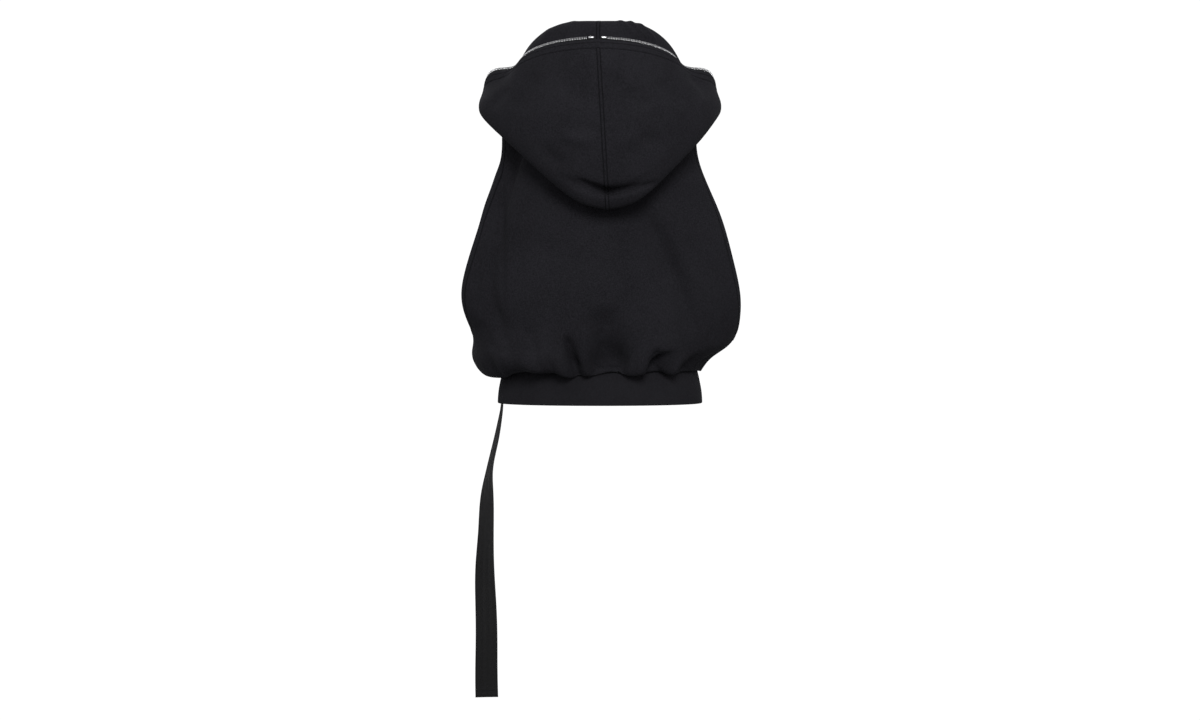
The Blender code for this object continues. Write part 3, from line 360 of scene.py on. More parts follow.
# How far in from its edges each cloth is rounded off.
BODY_EDGE_ROUND = 0.0013
BODY_SEAM_ROUND = 0.0010
HEM_SEAM_ROUND = 0.0012
HOOD_EDGE_ROUND = 0.0011
HOOD_THROAT_ROUND = 0.0009
STRAP_EDGE_ROUND = 0.0007
STRAP_END_ROUND = 0.0010
RIPPLE = 0.00035  # how high the faint puckers of the hem and the hood's zip band stand

# Sewing: distances from an edge or a seam to the rows of stitches.
ARM_HEM_EXTRA = 0.0014  # how much thicker the turned edge of an arm opening is
ZIP_ROW = 0.0060  # from the cloth's edge along the zip
SEAM_ROW = 0.0028  # from the hood's centre seam, on each side of it
SHALLOW_ROW = 0.0009  # the row beside the hood's zip hardly sinks in: its distances start here
BAND_ROW = 0.0022  # from the seam between hood and band, on the band
NECK_ROW = 0.0030
SEAM_EXTRA = 0.0009  # how much thicker the cloth is over the turned-in edges of a sewn-down seam
GROOVE = 0.0007  # how far a row of stitches draws the cloth's two faces together
GROOVE_WIDTH = 0.0011
STRAP_END_FOLD = 0.014
STRAP_END_ROWS = (STRAP_END_FOLD - 0.002, 0.003)  # from the strap's free end
SEWN_LIMIT = 0.020  # beyond this, a place counts as far from any row of stitches

# Mesh density.
EDGE_STEPS = np.array([0.0, 0.0002, 0.0006, 0.0011, 0.0018, 0.0030])  # from an edge inwards
ROWS_ABOVE_ARM = 30
ROWS_BESIDE_ARM = 118
ROWS_BELOW_ARM = 66
BACK_COLUMNS = 172
FRONT_COLUMNS = 80
HOOD_ROWS = 132
HOOD_ROW_CROWDING = 1.3
HOOD_SEAM_ROWS = [0.0, 0.06, 0.15, 0.3, 0.45, 0.6, 0.75, 0.9, 1.05, 1.25, 1.5, 1.8, 2.15, 2.6]
HOOD_COLUMNS = 188
BAND_COLUMNS = 14
HEM_COLUMNS = 420
HEM_ROWS = 26
STRAP_ROWS = 216
STRAP_COLUMNS = 17
STRAP_EDGE_STEPS = np.array([0.0, 0.0003, 0.0008])
PROFILE_POINTS = 520
ARM_EDGE_POINTS = 160

# Sections of the small solids, a row for each. A stitch: place, size and height, as shares of its
# half length and of the thread's radius. A flat plate: depth as a share of its thickness, and
# how much of the bevel its outline is drawn in. A zip tooth, a stop at the crown and the pull's
# cross bar: place, half width and half height.
STITCH_SECTIONS = [
    (-1.00, 0.45, -0.90),
    (-0.86, 0.90, -0.10),
    (-0.50, 1.00, 0.55),
    (0.00, 1.05, 0.75),
    (0.50, 1.00, 0.55),
    (0.86, 0.90, -0.10),
    (1.00, 0.45, -0.90),
]
SLAB_SECTIONS = [(-0.5, 1.0), (-0.42, 0.3), (-0.3, 0.0), (0.3, 0.0), (0.42, 0.3), (0.5, 1.0)]
TOOTH_SECTIONS = [
    (-0.00120, 0.00042, 0.00100),
    (-0.00100, 0.00062, 0.00122),
    (0.00100, 0.00062, 0.00122),
    (0.00165, 0.00050, 0.00100),
    (0.00220, 0.00048, 0.00088),
    (0.00280, 0.00062, 0.00084),
    (0.00340, 0.00056, 0.00070),
    (0.00360, 0.00040, 0.00050),
]
STOP_SECTIONS = [
    (-0.00010, 0.0040, 0.0012),
    (0.00020, 0.0046, 0.0017),
    (0.00290, 0.0046, 0.0017),
    (0.00330, 0.0044, 0.0015),
    (0.00350, 0.0038, 0.0011),
]
PULL_BAR_SECTIONS = [
    (-0.0030, 0.0007, 0.0007),
    (-0.0028, 0.0009, 0.0009),
    (0.0028, 0.0009, 0.0009),
    (0.0030, 0.0007, 0.0007),
]

# Looks.
WOVEN_RELIEF = 0.00012  # how high the knit of the rib and the weave of the bands stand
NAP_TINT = (0.86, 0.88, 1.0, 1.0)
# painted shade: the dark colour mixed into the fleece in the grooves of its sewn rows
PAINTED_GROOVE_SHADE = (0.003, 0.003, 0.0035, 1.0)
LINT_COLOUR = (0.06, 0.06, 0.065, 1.0)

# Stage: name, place, size and share of the key light's power for each lamp.
LAMPS = [
    ("key", (0.35, -2.8, 1.3), 1.3, 1.0),
    ("side", (-2.4, -1.9, 0.9), 1.2, 0.05),
    ("rear", (-0.6, 2.8, 2.4), 1.8, 0.8),
]
LAMP_TARGET = (0, 0, -0.3)
FLOOR_RADIUS = 30.0
FLOOR_RINGS = (0.05, 0.3, 1.0)
FLOOR_DROP = 0.06  # below the strap's end


# ---------------------------------------------------------------- curves and arrays


def through(at, values, where):
    """The natural cubic curve through values (a row for each place in at), read at where."""
    at, values = np.asarray(at, float), np.asarray(values, float)
    step = np.diff(at)
    count = len(at)
    system, right = np.eye(count), np.zeros((count,) + values.shape[1:])
    inner = np.arange(1, count - 1)
    system[inner, inner - 1], system[inner, inner] = step[:-1], 2 * (step[:-1] + step[1:])
    system[inner, inner + 1] = step[1:]
    slope = np.diff(values, axis=0) / step.reshape((-1,) + (1,) * (values.ndim - 1))
    right[1:-1] = 6 * np.diff(slope, axis=0)
    bend = np.linalg.solve(system, right.reshape(count, -1)).reshape(right.shape)
    where = np.clip(np.asarray(where, float), at[0], at[-1])
    i = np.clip(np.searchsorted(at, where, side="right") - 1, 0, count - 2)
    span = step[i]
    high = (where - at[i]) / span
    low = 1 - high
    tail = (...,) + (None,) * (values.ndim - 1)
    return (
        low[tail] * values[i]
        + high[tail] * values[i + 1]
        + ((low**3 - low) * span**2 / 6)[tail] * bend[i]
        + ((high**3 - high) * span**2 / 6)[tail] * bend[i + 1]
    )


def spline_weights(count, t):
    """Weights of count control points along a clamped, uniform cubic B-spline, a row for each t."""
    knots = np.concatenate([[0] * 3, np.linspace(0, 1, count - 2), [1] * 3])
    t = np.clip(np.asarray(t, float), 0, 1 - 1e-9)
    weights = [((knots[i] <= t) & (t < knots[i + 1])).astype(float) for i in range(count + 3)]
    for degree in (1, 2, 3):
        for i in range(count + 3 - degree):
            rise, fall = knots[i + degree] - knots[i], knots[i + degree + 1] - knots[i + 1]
            first = (t - knots[i]) / rise * weights[i] if rise else 0
            second = (knots[i + degree + 1] - t) / fall * weights[i + 1] if fall else 0
            weights[i] = first + second
    return np.stack(weights[:count], axis=1)


def bump(distance):
    """A smooth hump: 1 at 0, nearly 0 from 2 on."""
    return np.exp(-np.asarray(distance, float) ** 2)


def around(angle, centre):
    """The signed difference of two angles in degrees, from -180 to 180."""
    return (np.asarray(angle) - centre + 180) % 360 - 180


def smooth_step(x):
    x = np.clip(x, 0, 1)
    return x * x * (3 - 2 * x)


def unit(vectors):
    return vectors / np.maximum(np.linalg.norm(vectors, axis=-1, keepdims=True), 1e-12)


def lengths(points, axis=0):
    """Distance run along a line of points, or along each line of a grid on that axis."""
    step = np.linalg.norm(np.diff(points, axis=axis), axis=-1)
    start = np.zeros_like(np.take(step, [0], axis=axis))
    return np.cumsum(np.concatenate([start, step], axis=axis), axis=axis)


def read_line(at, line, where):
    """The points (or rows of values) of a line at places along it, between its own by straight
    steps."""
    return np.stack([np.interp(where, at, line[:, k]) for k in range(line.shape[1])], axis=1)


def distance_to_line(points, line):
    """How far each point is from a line of points: first the nearest of the line's points, then
    the nearest place on the two straight steps beside it."""
    flat = points.reshape(-1, 3)
    nearest = np.empty(len(flat), int)
    size = (line**2).sum(axis=1)
    for first in range(0, len(flat), 8192):
        part = flat[first : first + 8192]
        nearest[first : first + 8192] = (size - 2 * part @ line.T).argmin(axis=1)
    best = np.full(len(flat), np.inf)
    for offset in (-1, 0):
        start = np.clip(nearest + offset, 0, len(line) - 2)
        a, step = line[start], line[start + 1] - line[start]
        share = ((flat - a) * step).sum(axis=1) / np.maximum((step**2).sum(axis=1), 1e-18)
        place = a + np.clip(share, 0, 1)[:, None] * step
        best = np.minimum(best, np.linalg.norm(flat - place, axis=1))
    return best.reshape(points.shape[:-1])


def edge_distances(grid, axis):
    """Distances along a grid from its first and its last row (axis 0) or column (axis 1)."""
    run = lengths(grid, axis=axis)
    return run, np.take(run, [-1], axis=axis) - run


def grid_normals(grid):
    """Unit normals of a grid of points, from the directions of its rows and columns."""
    return unit(np.cross(np.gradient(grid, axis=0), np.gradient(grid, axis=1)))


def edge_shares(length, count):
    """Places along a line of that length, as distances: EDGE_STEPS at both ends and count even
    ones between. Length may be an array, which gives a row for each."""
    length = np.asarray(length, float)[..., None]
    reach = EDGE_STEPS[-1]
    middle = reach + (length - 2 * reach) * np.linspace(0, 1, count)
    ends = EDGE_STEPS[:-1] + 0 * length
    return np.concatenate([ends, middle, length - ends[..., ::-1]], axis=-1)


def creases(points, normals, rows):
    """How far soft creases push each point out. A crease runs between two places seen from behind
    or from the front, on a line bowed by a parabola. Across it the depth falls off as a bell
    curve, along it the depth fades at both ends, and it fades where the cloth faces away."""
    push = np.zeros(points.shape[:-1])
    x, z = points[..., 0], points[..., 2]
    for side, x_start, z_start, x_end, z_end, bow, half_width, depth in rows:
        run_x, run_z = x_end - x_start, z_end - z_start
        length = math.hypot(run_x, run_z)
        along = ((x - x_start) * run_x + (z - z_start) * run_z) / length**2
        across = ((x - x_start) * run_z - (z - z_start) * run_x) / length
        across = across - bow * 4 * along * (1 - along)
        ends = smooth_step(along / 0.3) * smooth_step((1 - along) / 0.3)
        facing = smooth_step((side * normals[..., 1] + 0.05) / 0.45)
        push -= depth * bump(across / half_width) * ends * facing
    return push


# ---------------------------------------------------------------- the body's surface


def body_rings(station):
    """The columns of BODY at these stations, as a dictionary of arrays."""
    values = through(np.arange(len(BODY)), BODY, station)
    return dict(zip(BODY_COLUMNS.split(), np.moveaxis(values, -1, 0)))


def arm_half_angle(station, side, part):
    """How far the arm opening reaches round from the side, in degrees, on the back or the front."""
    share = (station - ARM_TOP) / (ARM_BOTTOM[side] - ARM_TOP)
    return ARM_HALF_ANGLE[part] * np.sqrt(np.clip(4 * share * (1 - share), 0, None))


def power(x, exponent):
    return np.sign(x) * np.abs(x) ** exponent


def body_base(angle, station):
    """The body before its folds: at each station a super-ellipse, x as the cosine and y as the
    sine to the power of 2 / square, whose height goes from the side's to the middle's."""
    ring = body_rings(station)
    turn = np.radians(angle)
    is_right, is_front = np.cos(turn) > 0, np.sin(turn) > 0
    exponent = 2 / ring["square"]
    width = np.where(is_right, ring["right"], ring["left"])
    opening = np.where(
        is_right,
        arm_half_angle(station, "right", "back"),
        arm_half_angle(station, "left", "back"),
    )
    width = width / np.cos(np.radians(opening)) ** exponent
    zip_share = bump(around(angle, 90) / ZIP_PULL_IN)
    front = ring["front"] + (ring["zip"] - ring["front"]) * zip_share
    front_z = ring["front_z"] + (ring["zip_z"] - ring["front_z"]) * zip_share
    depth = np.where(is_front, front, ring["back"])
    middle_z = np.where(is_front, front_z, ring["back_z"])
    lift = np.sin(turn) ** 2
    x = width * power(np.cos(turn), exponent)
    y = depth * power(np.sin(turn), exponent)
    z = ring["side_z"] + (middle_z - ring["side_z"]) * lift
    return np.stack([x, y, z], axis=-1)


def edge_lift(angle):
    """How far the blouse's lower edge is lifted at an angle: smooth steps between EDGE_LIFT."""
    at, lift = np.array(EDGE_LIFT).T
    angle = around(angle, 0)
    i = np.clip(np.searchsorted(at, angle, side="right") - 1, 0, len(at) - 2)
    share = smooth_step((angle - at[i]) / (at[i + 1] - at[i]))
    return lift[i] + (lift[i + 1] - lift[i]) * share


def body(angle, station):
    """The body with its gathers and folds, pushed outward from the axis: each is a bell curve
    round its angle. Near the waist seam the push is limited, so that no pinch reaches the rib."""
    angle, station = np.broadcast_arrays(np.asarray(angle, float), np.asarray(station, float))
    point = body_base(angle, station)
    flat = point * (1, 1, 0)
    out = unit(flat)
    push = np.zeros(angle.shape)
    turned_under = smooth_step((station - BLOUSE_STATION) / 2)
    height = point[..., 2] - body_rings(np.full_like(station, BLOUSE_STATION))["side_z"]
    low = (station > BLOUSE_STATION - 3) * (1 - turned_under)
    for centre, half_width, depth, reach in GATHERS + PUCKERS:
        up = smooth_step(1 - height / reach)
        push -= depth * bump(around(angle, centre) / half_width) * up * low
    raise_by = edge_lift(angle) * smooth_step(1 - height / LIFT_REACH) * low
    for angle_top, station_top, angle_low, station_low, half_width, depth in BODY_FOLDS:
        along = (station - station_top) / (station_low - station_top)
        centre = angle_top + (angle_low - angle_top) * along
        ends = smooth_step(along * 4 + 0.6) * smooth_step((1 - along) * 4 + 0.6)
        push -= depth * bump(around(angle, centre) / half_width) * ends
    bulge = bump(around(angle, SIDE_BULGE["angle"]) / SIDE_BULGE["half_width"]) * bump(
        (station - SIDE_BULGE["station"]) / SIDE_BULGE["half_length"]
    )
    push += SIDE_BULGE["out"] * bulge * (1 - turned_under)
    seam = body_base(angle, np.full_like(station, LAST_STATION)) * (1, 1, 0)
    clearance = HEM_CLEARANCE * (1 + 2 * np.clip(BLOUSE_STATION - station, 0, None))
    limit = np.linalg.norm(seam, axis=-1) + clearance * smooth_step(LAST_STATION - station)
    room = limit - np.linalg.norm(flat, axis=-1)
    kept = (push + room + np.sqrt((push - room) ** 2 + 0.003**2)) / 2 - 0.0004
    overhang = smooth_step(station - BLOUSE_STATION + 3) * (station < LAST_STATION - 1e-6)
    push = push + (np.maximum(kept, push) - push) * overhang
    return point + out * push[..., None] + np.stack([0 * raise_by, 0 * raise_by, raise_by], axis=-1)


def surface_normals(surface, angle, station):
    """Unit normals of a surface of angle and station, out of the garment."""
    around_step = surface(angle + 0.3, station) - surface(angle - 0.3, station)
    low, high = np.maximum(station - 0.02, 0), np.minimum(station + 0.02, LAST_STATION)
    down_step = surface(angle, high) - surface(angle, low)
    return unit(np.cross(down_step, around_step))


def creased_body(angle, station):
    """The body's middle layer with its finer creases, which fade out at the neck and the waist."""
    points = body(angle, station)
    normals = surface_normals(body, angle, station)
    push = creases(points, normals, BACK_CREASES + FRONT_CREASES)
    push = push * smooth_step(station / 1.5) * smooth_step((LAST_STATION - station) / 2)
    return points + normals * push[..., None]


def gap_angle(station, side):
    """Half a seam's gap as an angle round the body, in degrees."""
    return np.degrees(SEAM_GAP / 2 / body_rings(station)[side])


def zip_edge_x(station):
    return ZIP_EDGE_X + ZIP_V_X * np.clip(1 - station / ZIP_V_STATION, 0, None) ** ZIP_V_CURVE


def beside_arm(side, count):
    """Stations down an arm opening, closer together at its two ends."""
    share = (1 - np.cos(np.linspace(0, math.pi, count))) / 2
    return ARM_TOP + (ARM_BOTTOM[side] - ARM_TOP) * share


def body_stations(side):
    """Rows of the body panels on one side: above, beside and below the arm opening, closer
    together at the opening's two ends and at the seams."""
    bottom = ARM_BOTTOM[side]
    share = np.concatenate([[0, 0.002, 0.006, 0.012], np.linspace(0.02, 1, ROWS_ABOVE_ARM)])
    above = ARM_TOP * share
    share = np.concatenate([np.linspace(0, 0.97, ROWS_BELOW_ARM), [0.98, 0.987, 0.993, 0.997, 1]])
    below = bottom + (LAST_STATION - bottom) * share
    return np.concatenate([above[:-1], beside_arm(side, ROWS_BESIDE_ARM), below[1:]])[:, None]


def spread_row(start, end, station, count):
    """Angles and stations from start to end in each row, at even distances along the cloth but
    closer at both edges. Station has a start and an end column."""
    share = np.linspace(0, 1, 121)[None, :]
    angle = start + (end - start) * share
    at = station[0] + (station[1] - station[0]) * share
    run = lengths(body(angle, at), axis=1)
    places = edge_shares(run[:, -1], count)
    shares = np.array([np.interp(p, r, share[0]) for p, r in zip(places, run)])
    angle = start + (end - start) * shares
    return angle, station[0] + (station[1] - station[0]) * shares


def back_places():
    """Angle and station of each point of the back, from the left side seam to the right."""
    at_left, at_right = body_stations("left"), body_stations("right")
    left = 180 + arm_half_angle(at_left, "left", "back") + gap_angle(at_left, "left")
    right = 360 - arm_half_angle(at_right, "right", "back") - gap_angle(at_right, "right")
    return spread_row(left, right, (at_left, at_right), BACK_COLUMNS)


def front_places(side):
    """Angle and station of each point of a front, from the zip's edge round to the side seam."""
    station = body_stations(side)
    ring = body_rings(station)
    opening = arm_half_angle(station, side, "front") + gap_angle(station, side)
    whole = ring[side] / np.cos(np.radians(arm_half_angle(station, side, "back"))) ** (
        2 / ring["square"]
    )
    edge = np.degrees(np.arccos((zip_edge_x(station) / whole) ** (ring["square"] / 2)))
    if side == "left":
        edge, opening = 180 - edge, 180 - opening
    return spread_row(edge, opening, (station, station), FRONT_COLUMNS)


def arm_edge(side):
    """The closed edge of an arm opening, as angle and station: down the back, up the front."""
    station = beside_arm(side, ARM_EDGE_POINTS)
    back, front = (arm_half_angle(station, side, part) for part in ("back", "front"))
    if side == "right":
        angle = np.concatenate([360 - back, 360 + front[-2::-1]])
    else:
        angle = np.concatenate([180 + back, 180 - front[-2::-1]])
    return angle, np.concatenate([station, station[-2::-1]])


def march(angle, station, distance, steps=6):
    """Moves a line of places on the body sideways over its surface by a distance, in small steps.
    Each step is square to the line, and the change of angle and station that makes it is solved
    from the surface's slopes by least squares."""
    for _ in range(steps):
        point = creased_body(angle, station)
        per_angle = (creased_body(angle + 0.2, station) - point) / 0.2
        per_station = (creased_body(angle, station + 0.01) - point) / 0.01
        along = unit(np.roll(point, -1, axis=0) - np.roll(point, 1, axis=0))
        side = unit(np.cross(unit(np.cross(per_station, per_angle)), along))
        target = side * distance / steps
        a = (per_angle**2).sum(-1)
        b = (per_angle * per_station).sum(-1)
        c = (per_station**2).sum(-1)
        d, e = (per_angle * target).sum(-1), (per_station * target).sum(-1)
        scale = a * c - b * b
        angle = angle + (d * c - e * b) / scale
        station = station + (a * e - b * d) / scale
    return angle, station


def hem_grid():
    """The rib band's points and normals, from the zip's left edge round the back to its right
    edge: a super-ellipse that flares towards the bottom, with faint puckers from the gathers."""
    share = np.linspace(0, 1, HEM_COLUMNS)[None, :]
    down = np.concatenate([[0, 0.006, 0.015], np.linspace(0.03, 0.965, HEM_ROWS)])
    down = np.concatenate([down, [0.978, 0.988, 0.995, 1.0]])[:, None]
    flare = np.sin(down * math.pi / 2)
    width = HEM_TOP[0] + (HEM_BOTTOM[0] - HEM_TOP[0]) * flare
    depth = HEM_TOP[1] + (HEM_BOTTOM[1] - HEM_TOP[1]) * flare
    edge = np.degrees(np.arccos((ZIP_EDGE_X / width) ** (HEM_SQUARE / 2)))
    degrees = (180 - edge) + (2 * edge + 180) * share
    turn = np.radians(degrees)
    x = width * power(np.cos(turn), 2 / HEM_SQUARE)
    y = depth * power(np.sin(turn), 2 / HEM_SQUARE)
    z = HEM_TOP_Z + (HEM_BOTTOM_Z - HEM_TOP_Z) * down + 0 * x
    grid = np.stack([x, y, z], axis=-1)
    normals = grid_normals(grid)
    ripple = np.sin(turn * 37 + 2 * np.sin(turn * 5)) + 0.6 * np.sin(turn * 61 + 1.3)
    ripple = RIPPLE * ripple * smooth_step(down / 0.1) * smooth_step(1 - down / 0.7)
    free = smooth_step(share * 40) * smooth_step((1 - share) * 40)
    return grid + normals * (ripple * free)[..., None], normals


# ---------------------------------------------------------------- the hood's surface


def hood_profile(angle, lift):
    """One profile of the right half: a clamped cubic B-spline from the neck seam to the zipped
    edge, pressed in by the crease above the pouch's lowest point."""
    out = through(HOOD_STATIONS, HOOD_OUT, angle)
    up = through(HOOD_STATIONS, HOOD_UP, angle)
    at, edge = np.split(np.array(HOOD_EDGE), [1], axis=1)
    edge = through(at[:, 0], edge, angle)
    ring = body_base(np.array(angle - 90.0), np.array(0.0))
    start = [math.hypot(ring[0], ring[1]), ring[2]]
    control = np.vstack([start, np.stack([out, up], axis=1), edge])
    line = spline_weights(len(control), np.linspace(0, 1, PROFILE_POINTS)) @ control
    lowest = line[:, 1].min()
    outer = np.arange(len(line)) > line[:, 1].argmin()
    crease = bump((line[:, 1] - lowest - HOOD_CREASE["above_fold"]) / HOOD_CREASE["half_width"])
    line[:, 0] -= HOOD_CREASE["depth"] * crease * outer * bump(angle / HOOD_CREASE["reach"])
    start = unit(line[1] - line[0])
    line[0] += start * lift
    after = 1 + int(np.argmax((line[1:] - line[0]) @ start > 0))
    line = np.vstack([line[:1], line[after:]])
    direction = ring[:2] / np.linalg.norm(ring[:2])
    return np.column_stack([line[:, :1] * direction, line[:, 1]])


def spaced(line, count):
    """Points of a line, closer at its two ends and where it turns."""
    heading = unit(np.diff(line, axis=0))
    turning = np.arccos(np.clip((heading[1:] * heading[:-1]).sum(1), -1, 1))
    run = lengths(line)
    measure = run + TURN_WEIGHT * np.concatenate([[0], np.cumsum(np.append(turning, 0))])
    ends = EDGE_STEPS[:-1]
    first, last = np.interp([EDGE_STEPS[-1], run[-1] - EDGE_STEPS[-1]], run, measure)
    middle = np.interp(np.linspace(first, last, count), measure, run)
    return read_line(run, line, np.concatenate([ends, middle, run[-1] - ends[::-1]]))


def cut(line, start, end):
    """The stretch of a line between two distances from its end."""
    along = lengths(line)
    first, last = along[-1] - start, along[-1] - end
    inside = (along > first + 1e-6) & (along < last - 1e-6)
    return read_line(along, line, np.concatenate([[first], along[inside], [last]]))


@functools.lru_cache
def hood_grids(side):
    """One half's panel and zip band, each as points and normals: a row for each angle, which runs
    from the neck seam to the zipped edge."""
    sign = {"right": 1, "left": -1}[side]
    corner = front_cloth(side)[0][0, 0]
    end = 90 + math.degrees(math.atan2(corner[1], abs(corner[0])))
    angles = end * (1 - np.linspace(1, 0, HOOD_ROWS) ** HOOD_ROW_CROWDING)
    angles = np.concatenate([HOOD_SEAM_ROWS, angles[angles > HOOD_SEAM_ROWS[-1] + 0.3]])
    angles = np.sort(np.append(angles, end - np.array([0.05, 0.15])))
    panel, band = [], []
    for angle in angles:
        near_throat = bump((end - angle) / 9)
        gap = SEAM_GAP * (1 + 2 * near_throat)
        line = hood_profile(angle, NECK_SEAM_LIFT * (1 + near_throat))
        length = lengths(line)[-1]
        width = min(HOOD_BAND, 0.42 * length)
        panel.append(spaced(cut(line, length, width + gap / 2), HOOD_COLUMNS))
        strip = cut(line, width - gap / 2, 0)
        run = lengths(strip)
        ends = EDGE_STEPS[:-1] * min(1, run[-1] / HOOD_BAND)
        inner = np.linspace(ends[-1] * 1.6, run[-1] - ends[-1] * 1.6, BAND_COLUMNS)
        band.append(read_line(run, strip, np.concatenate([ends, inner, run[-1] - ends[::-1]])))
    panel, band = np.array(panel), np.array(band)
    # One set of normals for the two pieces, so that their edges meet at the same slant.
    normals = grid_normals(np.concatenate([panel, band[:, 1:]], axis=1))
    normals[0, :, 0] = 0
    normals = unit(normals)
    seam = panel.shape[1] - 1
    pieces = []
    for grid, normal in ((panel, normals[:, : seam + 1]), (band, normals[:, seam:])):
        grid, normal = grid.copy(), normal * (sign, 1, 1)
        # The two halves are butted at the centre seam.
        grid[..., 0] = (grid[..., 0] + 0.00002) * sign
        lean = HOOD_LEAN_X + HOOD_LEAN * (HOOD_LEAN_FROM_Z - grid[..., 2])
        grid[..., 0] += lean * smooth_step((-grid[..., 1] - 0.05) / 0.08)
        pieces.append((grid, normal))
    push = creases(*pieces[0], HOOD_CREASES)
    to_neck, to_band = edge_distances(pieces[0][0], 1)
    push *= smooth_step(to_neck / 0.02) * smooth_step(to_band / 0.012)
    pieces[0] = (pieces[0][0] + pieces[0][1] * push[..., None], pieces[0][1])
    # Small puckers along the band, sewn flat at both its edges.
    grid, normal = pieces[1]
    across, along = lengths(grid, axis=1), lengths(grid, axis=0)[:, -1:]
    ripple = np.sin(along / 0.0034 + 1.7 * np.sin(along / 0.021))
    ripple = RIPPLE * ripple * bump((across / HOOD_BAND - 0.55) / 0.4)
    calm = smooth_step(along / 0.02) * smooth_step((along[-1] - along) / 0.12)
    pieces[1] = (grid + normal * (ripple * calm)[..., None], normal)
    return pieces


# ---------------------------------------------------------------- meshes


def new_mesh(name, points, faces):
    """A mesh from arrays of points and four-cornered faces."""
    mesh = bpy.data.meshes.new(name)
    mesh.vertices.add(len(points))
    mesh.vertices.foreach_set("co", np.asarray(points, np.float32).ravel())
    mesh.loops.add(faces.size)
    mesh.loops.foreach_set("vertex_index", faces.astype(np.int32).ravel())
    mesh.polygons.add(len(faces))
    mesh.polygons.foreach_set("loop_start", np.arange(0, faces.size, 4, dtype=np.int32))
    mesh.update(calc_edges=True)
    if mesh.validate():
        raise RuntimeError(f"the mesh of {name} has broken faces")
    mesh.shade_smooth()
    return mesh


def place_piece(mesh, finish, body="garment", stands_for=()):
    """Puts a mesh in the scene as a piece of the same name that rides on a body."""
    piece = bpy.data.objects.new(mesh.name, mesh)
    bpy.context.scene.collection.objects.link(piece)
    mesh.materials.append(finish)
    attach(piece, body)
    if stands_for:
        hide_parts(*stands_for)
    return piece


def place_cloth(name, cloth, finish, node):
    """A piece of cloth in place of a node."""
    return place_piece(cloth_mesh(name, *cloth), finish, "garment", [node])


def place_metal(name, parts, node, body="garment"):
    """A piece of the zip's metal from several parts, in place of a node."""
    mesh = new_mesh(name, *join_parts(parts))
    return place_piece(mesh, metal_material(), body, [node])


def set_uv(mesh, uv):
    """Gives each face corner the UV place, in metres, of its vertex."""
    corner = np.empty(len(mesh.loops), np.int32)
    mesh.loops.foreach_get("vertex_index", corner)
    mesh.uv_layers.new(name="cloth").data.foreach_set("uv", uv[corner].astype(np.float32).ravel())


def cloth_mesh(name, grid, normals, thick, sewn=None):
    """A closed wall: each grid point moved by half the thickness along its normal, and against it,
    with a rim of faces. Its UV map runs along rows and columns in metres, and its attribute
    "sewn" is the signed distance from the nearest row of stitches."""
    rows, columns = grid.shape[:2]
    count = rows * columns
    index = np.arange(count).reshape(rows, columns)
    outer = np.stack([index[:-1, :-1], index[:-1, 1:], index[1:, 1:], index[1:, :-1]], axis=-1)
    outer = outer.reshape(-1, 4)
    border = np.concatenate([index[0, :-1], index[:-1, -1], index[-1, :0:-1], index[:0:-1, 0]])
    after = np.roll(border, -1)
    rim = np.stack([after, border, border + count, after + count], axis=-1)
    faces = np.vstack([outer, outer[:, ::-1] + count, rim])
    facing = np.cross(np.gradient(grid, axis=1), np.gradient(grid, axis=0))
    if (facing * normals).sum() < 0:
        faces = faces[:, ::-1]
    half = np.broadcast_to(np.asarray(thick, float), grid.shape[:2])[..., None] / 2
    points = np.vstack([(grid + normals * half * way).reshape(-1, 3) for way in (1, -1)])
    mesh = new_mesh(name, points, faces)
    along, down = lengths(grid, axis=1), lengths(grid, axis=0)
    uv = np.stack([along - along[:, -1:] / 2, -down], axis=-1).reshape(-1, 2)
    set_uv(mesh, np.vstack([uv, uv]))
    field = np.full(grid.shape[:2], SEWN_LIMIT) if sewn is None else sewn
    attribute = mesh.attributes.new("sewn", "FLOAT", "POINT")
    attribute.data.foreach_set("value", np.tile(field.ravel(), 2).astype(np.float32))
    return mesh


def rounded(distance, radius):
    """Share of the full thickness at a distance from an edge: a quarter circle, then 1."""
    inside = np.clip(distance / radius, 0.0, 1.0)
    return np.maximum(np.sqrt(1 - (1 - inside) ** 2), 0.10)


def groove(sewn):
    """How much thinner the cloth is at each distance from a row of stitches."""
    return GROOVE * bump(sewn / GROOVE_WIDTH)


def nearest_of(*fields):
    """For each place, the field with the smallest absolute value."""
    stacked = np.stack(np.broadcast_arrays(*fields))
    choice = np.abs(stacked).argmin(axis=0)
    return np.clip(np.take_along_axis(stacked, choice[None], axis=0)[0], -SEWN_LIMIT, SEWN_LIMIT)


def instances(template, faces, origins, *axes):
    """Copies of a small mesh, one for each origin, each turned to its own three axes."""
    points = origins[:, None, :] + sum(
        template[None, :, k : k + 1] * axis[:, None, :] for k, axis in enumerate(axes)
    )
    offset = (np.arange(len(origins)) * len(template))[:, None, None]
    return points.reshape(-1, 3), (faces[None] + offset).reshape(-1, 4)


def tube_template(rings):
    """A closed tube from rings of points along its first axis: an array of rings, each with the
    same number of points, and its faces. The first and last rings are drawn to a point or flat."""
    count, sides = rings.shape[:2]
    index = np.arange(count * sides).reshape(count, sides)
    after = np.roll(index, -1, axis=1)
    faces = [np.stack([index[:-1], index[1:], after[1:], after[:-1]], axis=-1).reshape(-1, 4)]
    for ring, way in ((index[0], 1), (index[-1], -1)):
        half = sides // 2
        for k in range(half - 1):
            cap = [ring[k], ring[k + 1], ring[sides - 2 - k], ring[(sides - 1 - k) % sides]]
            faces.append(np.array([cap[::way]]))
    return rings.reshape(-1, 3), np.vstack(faces)


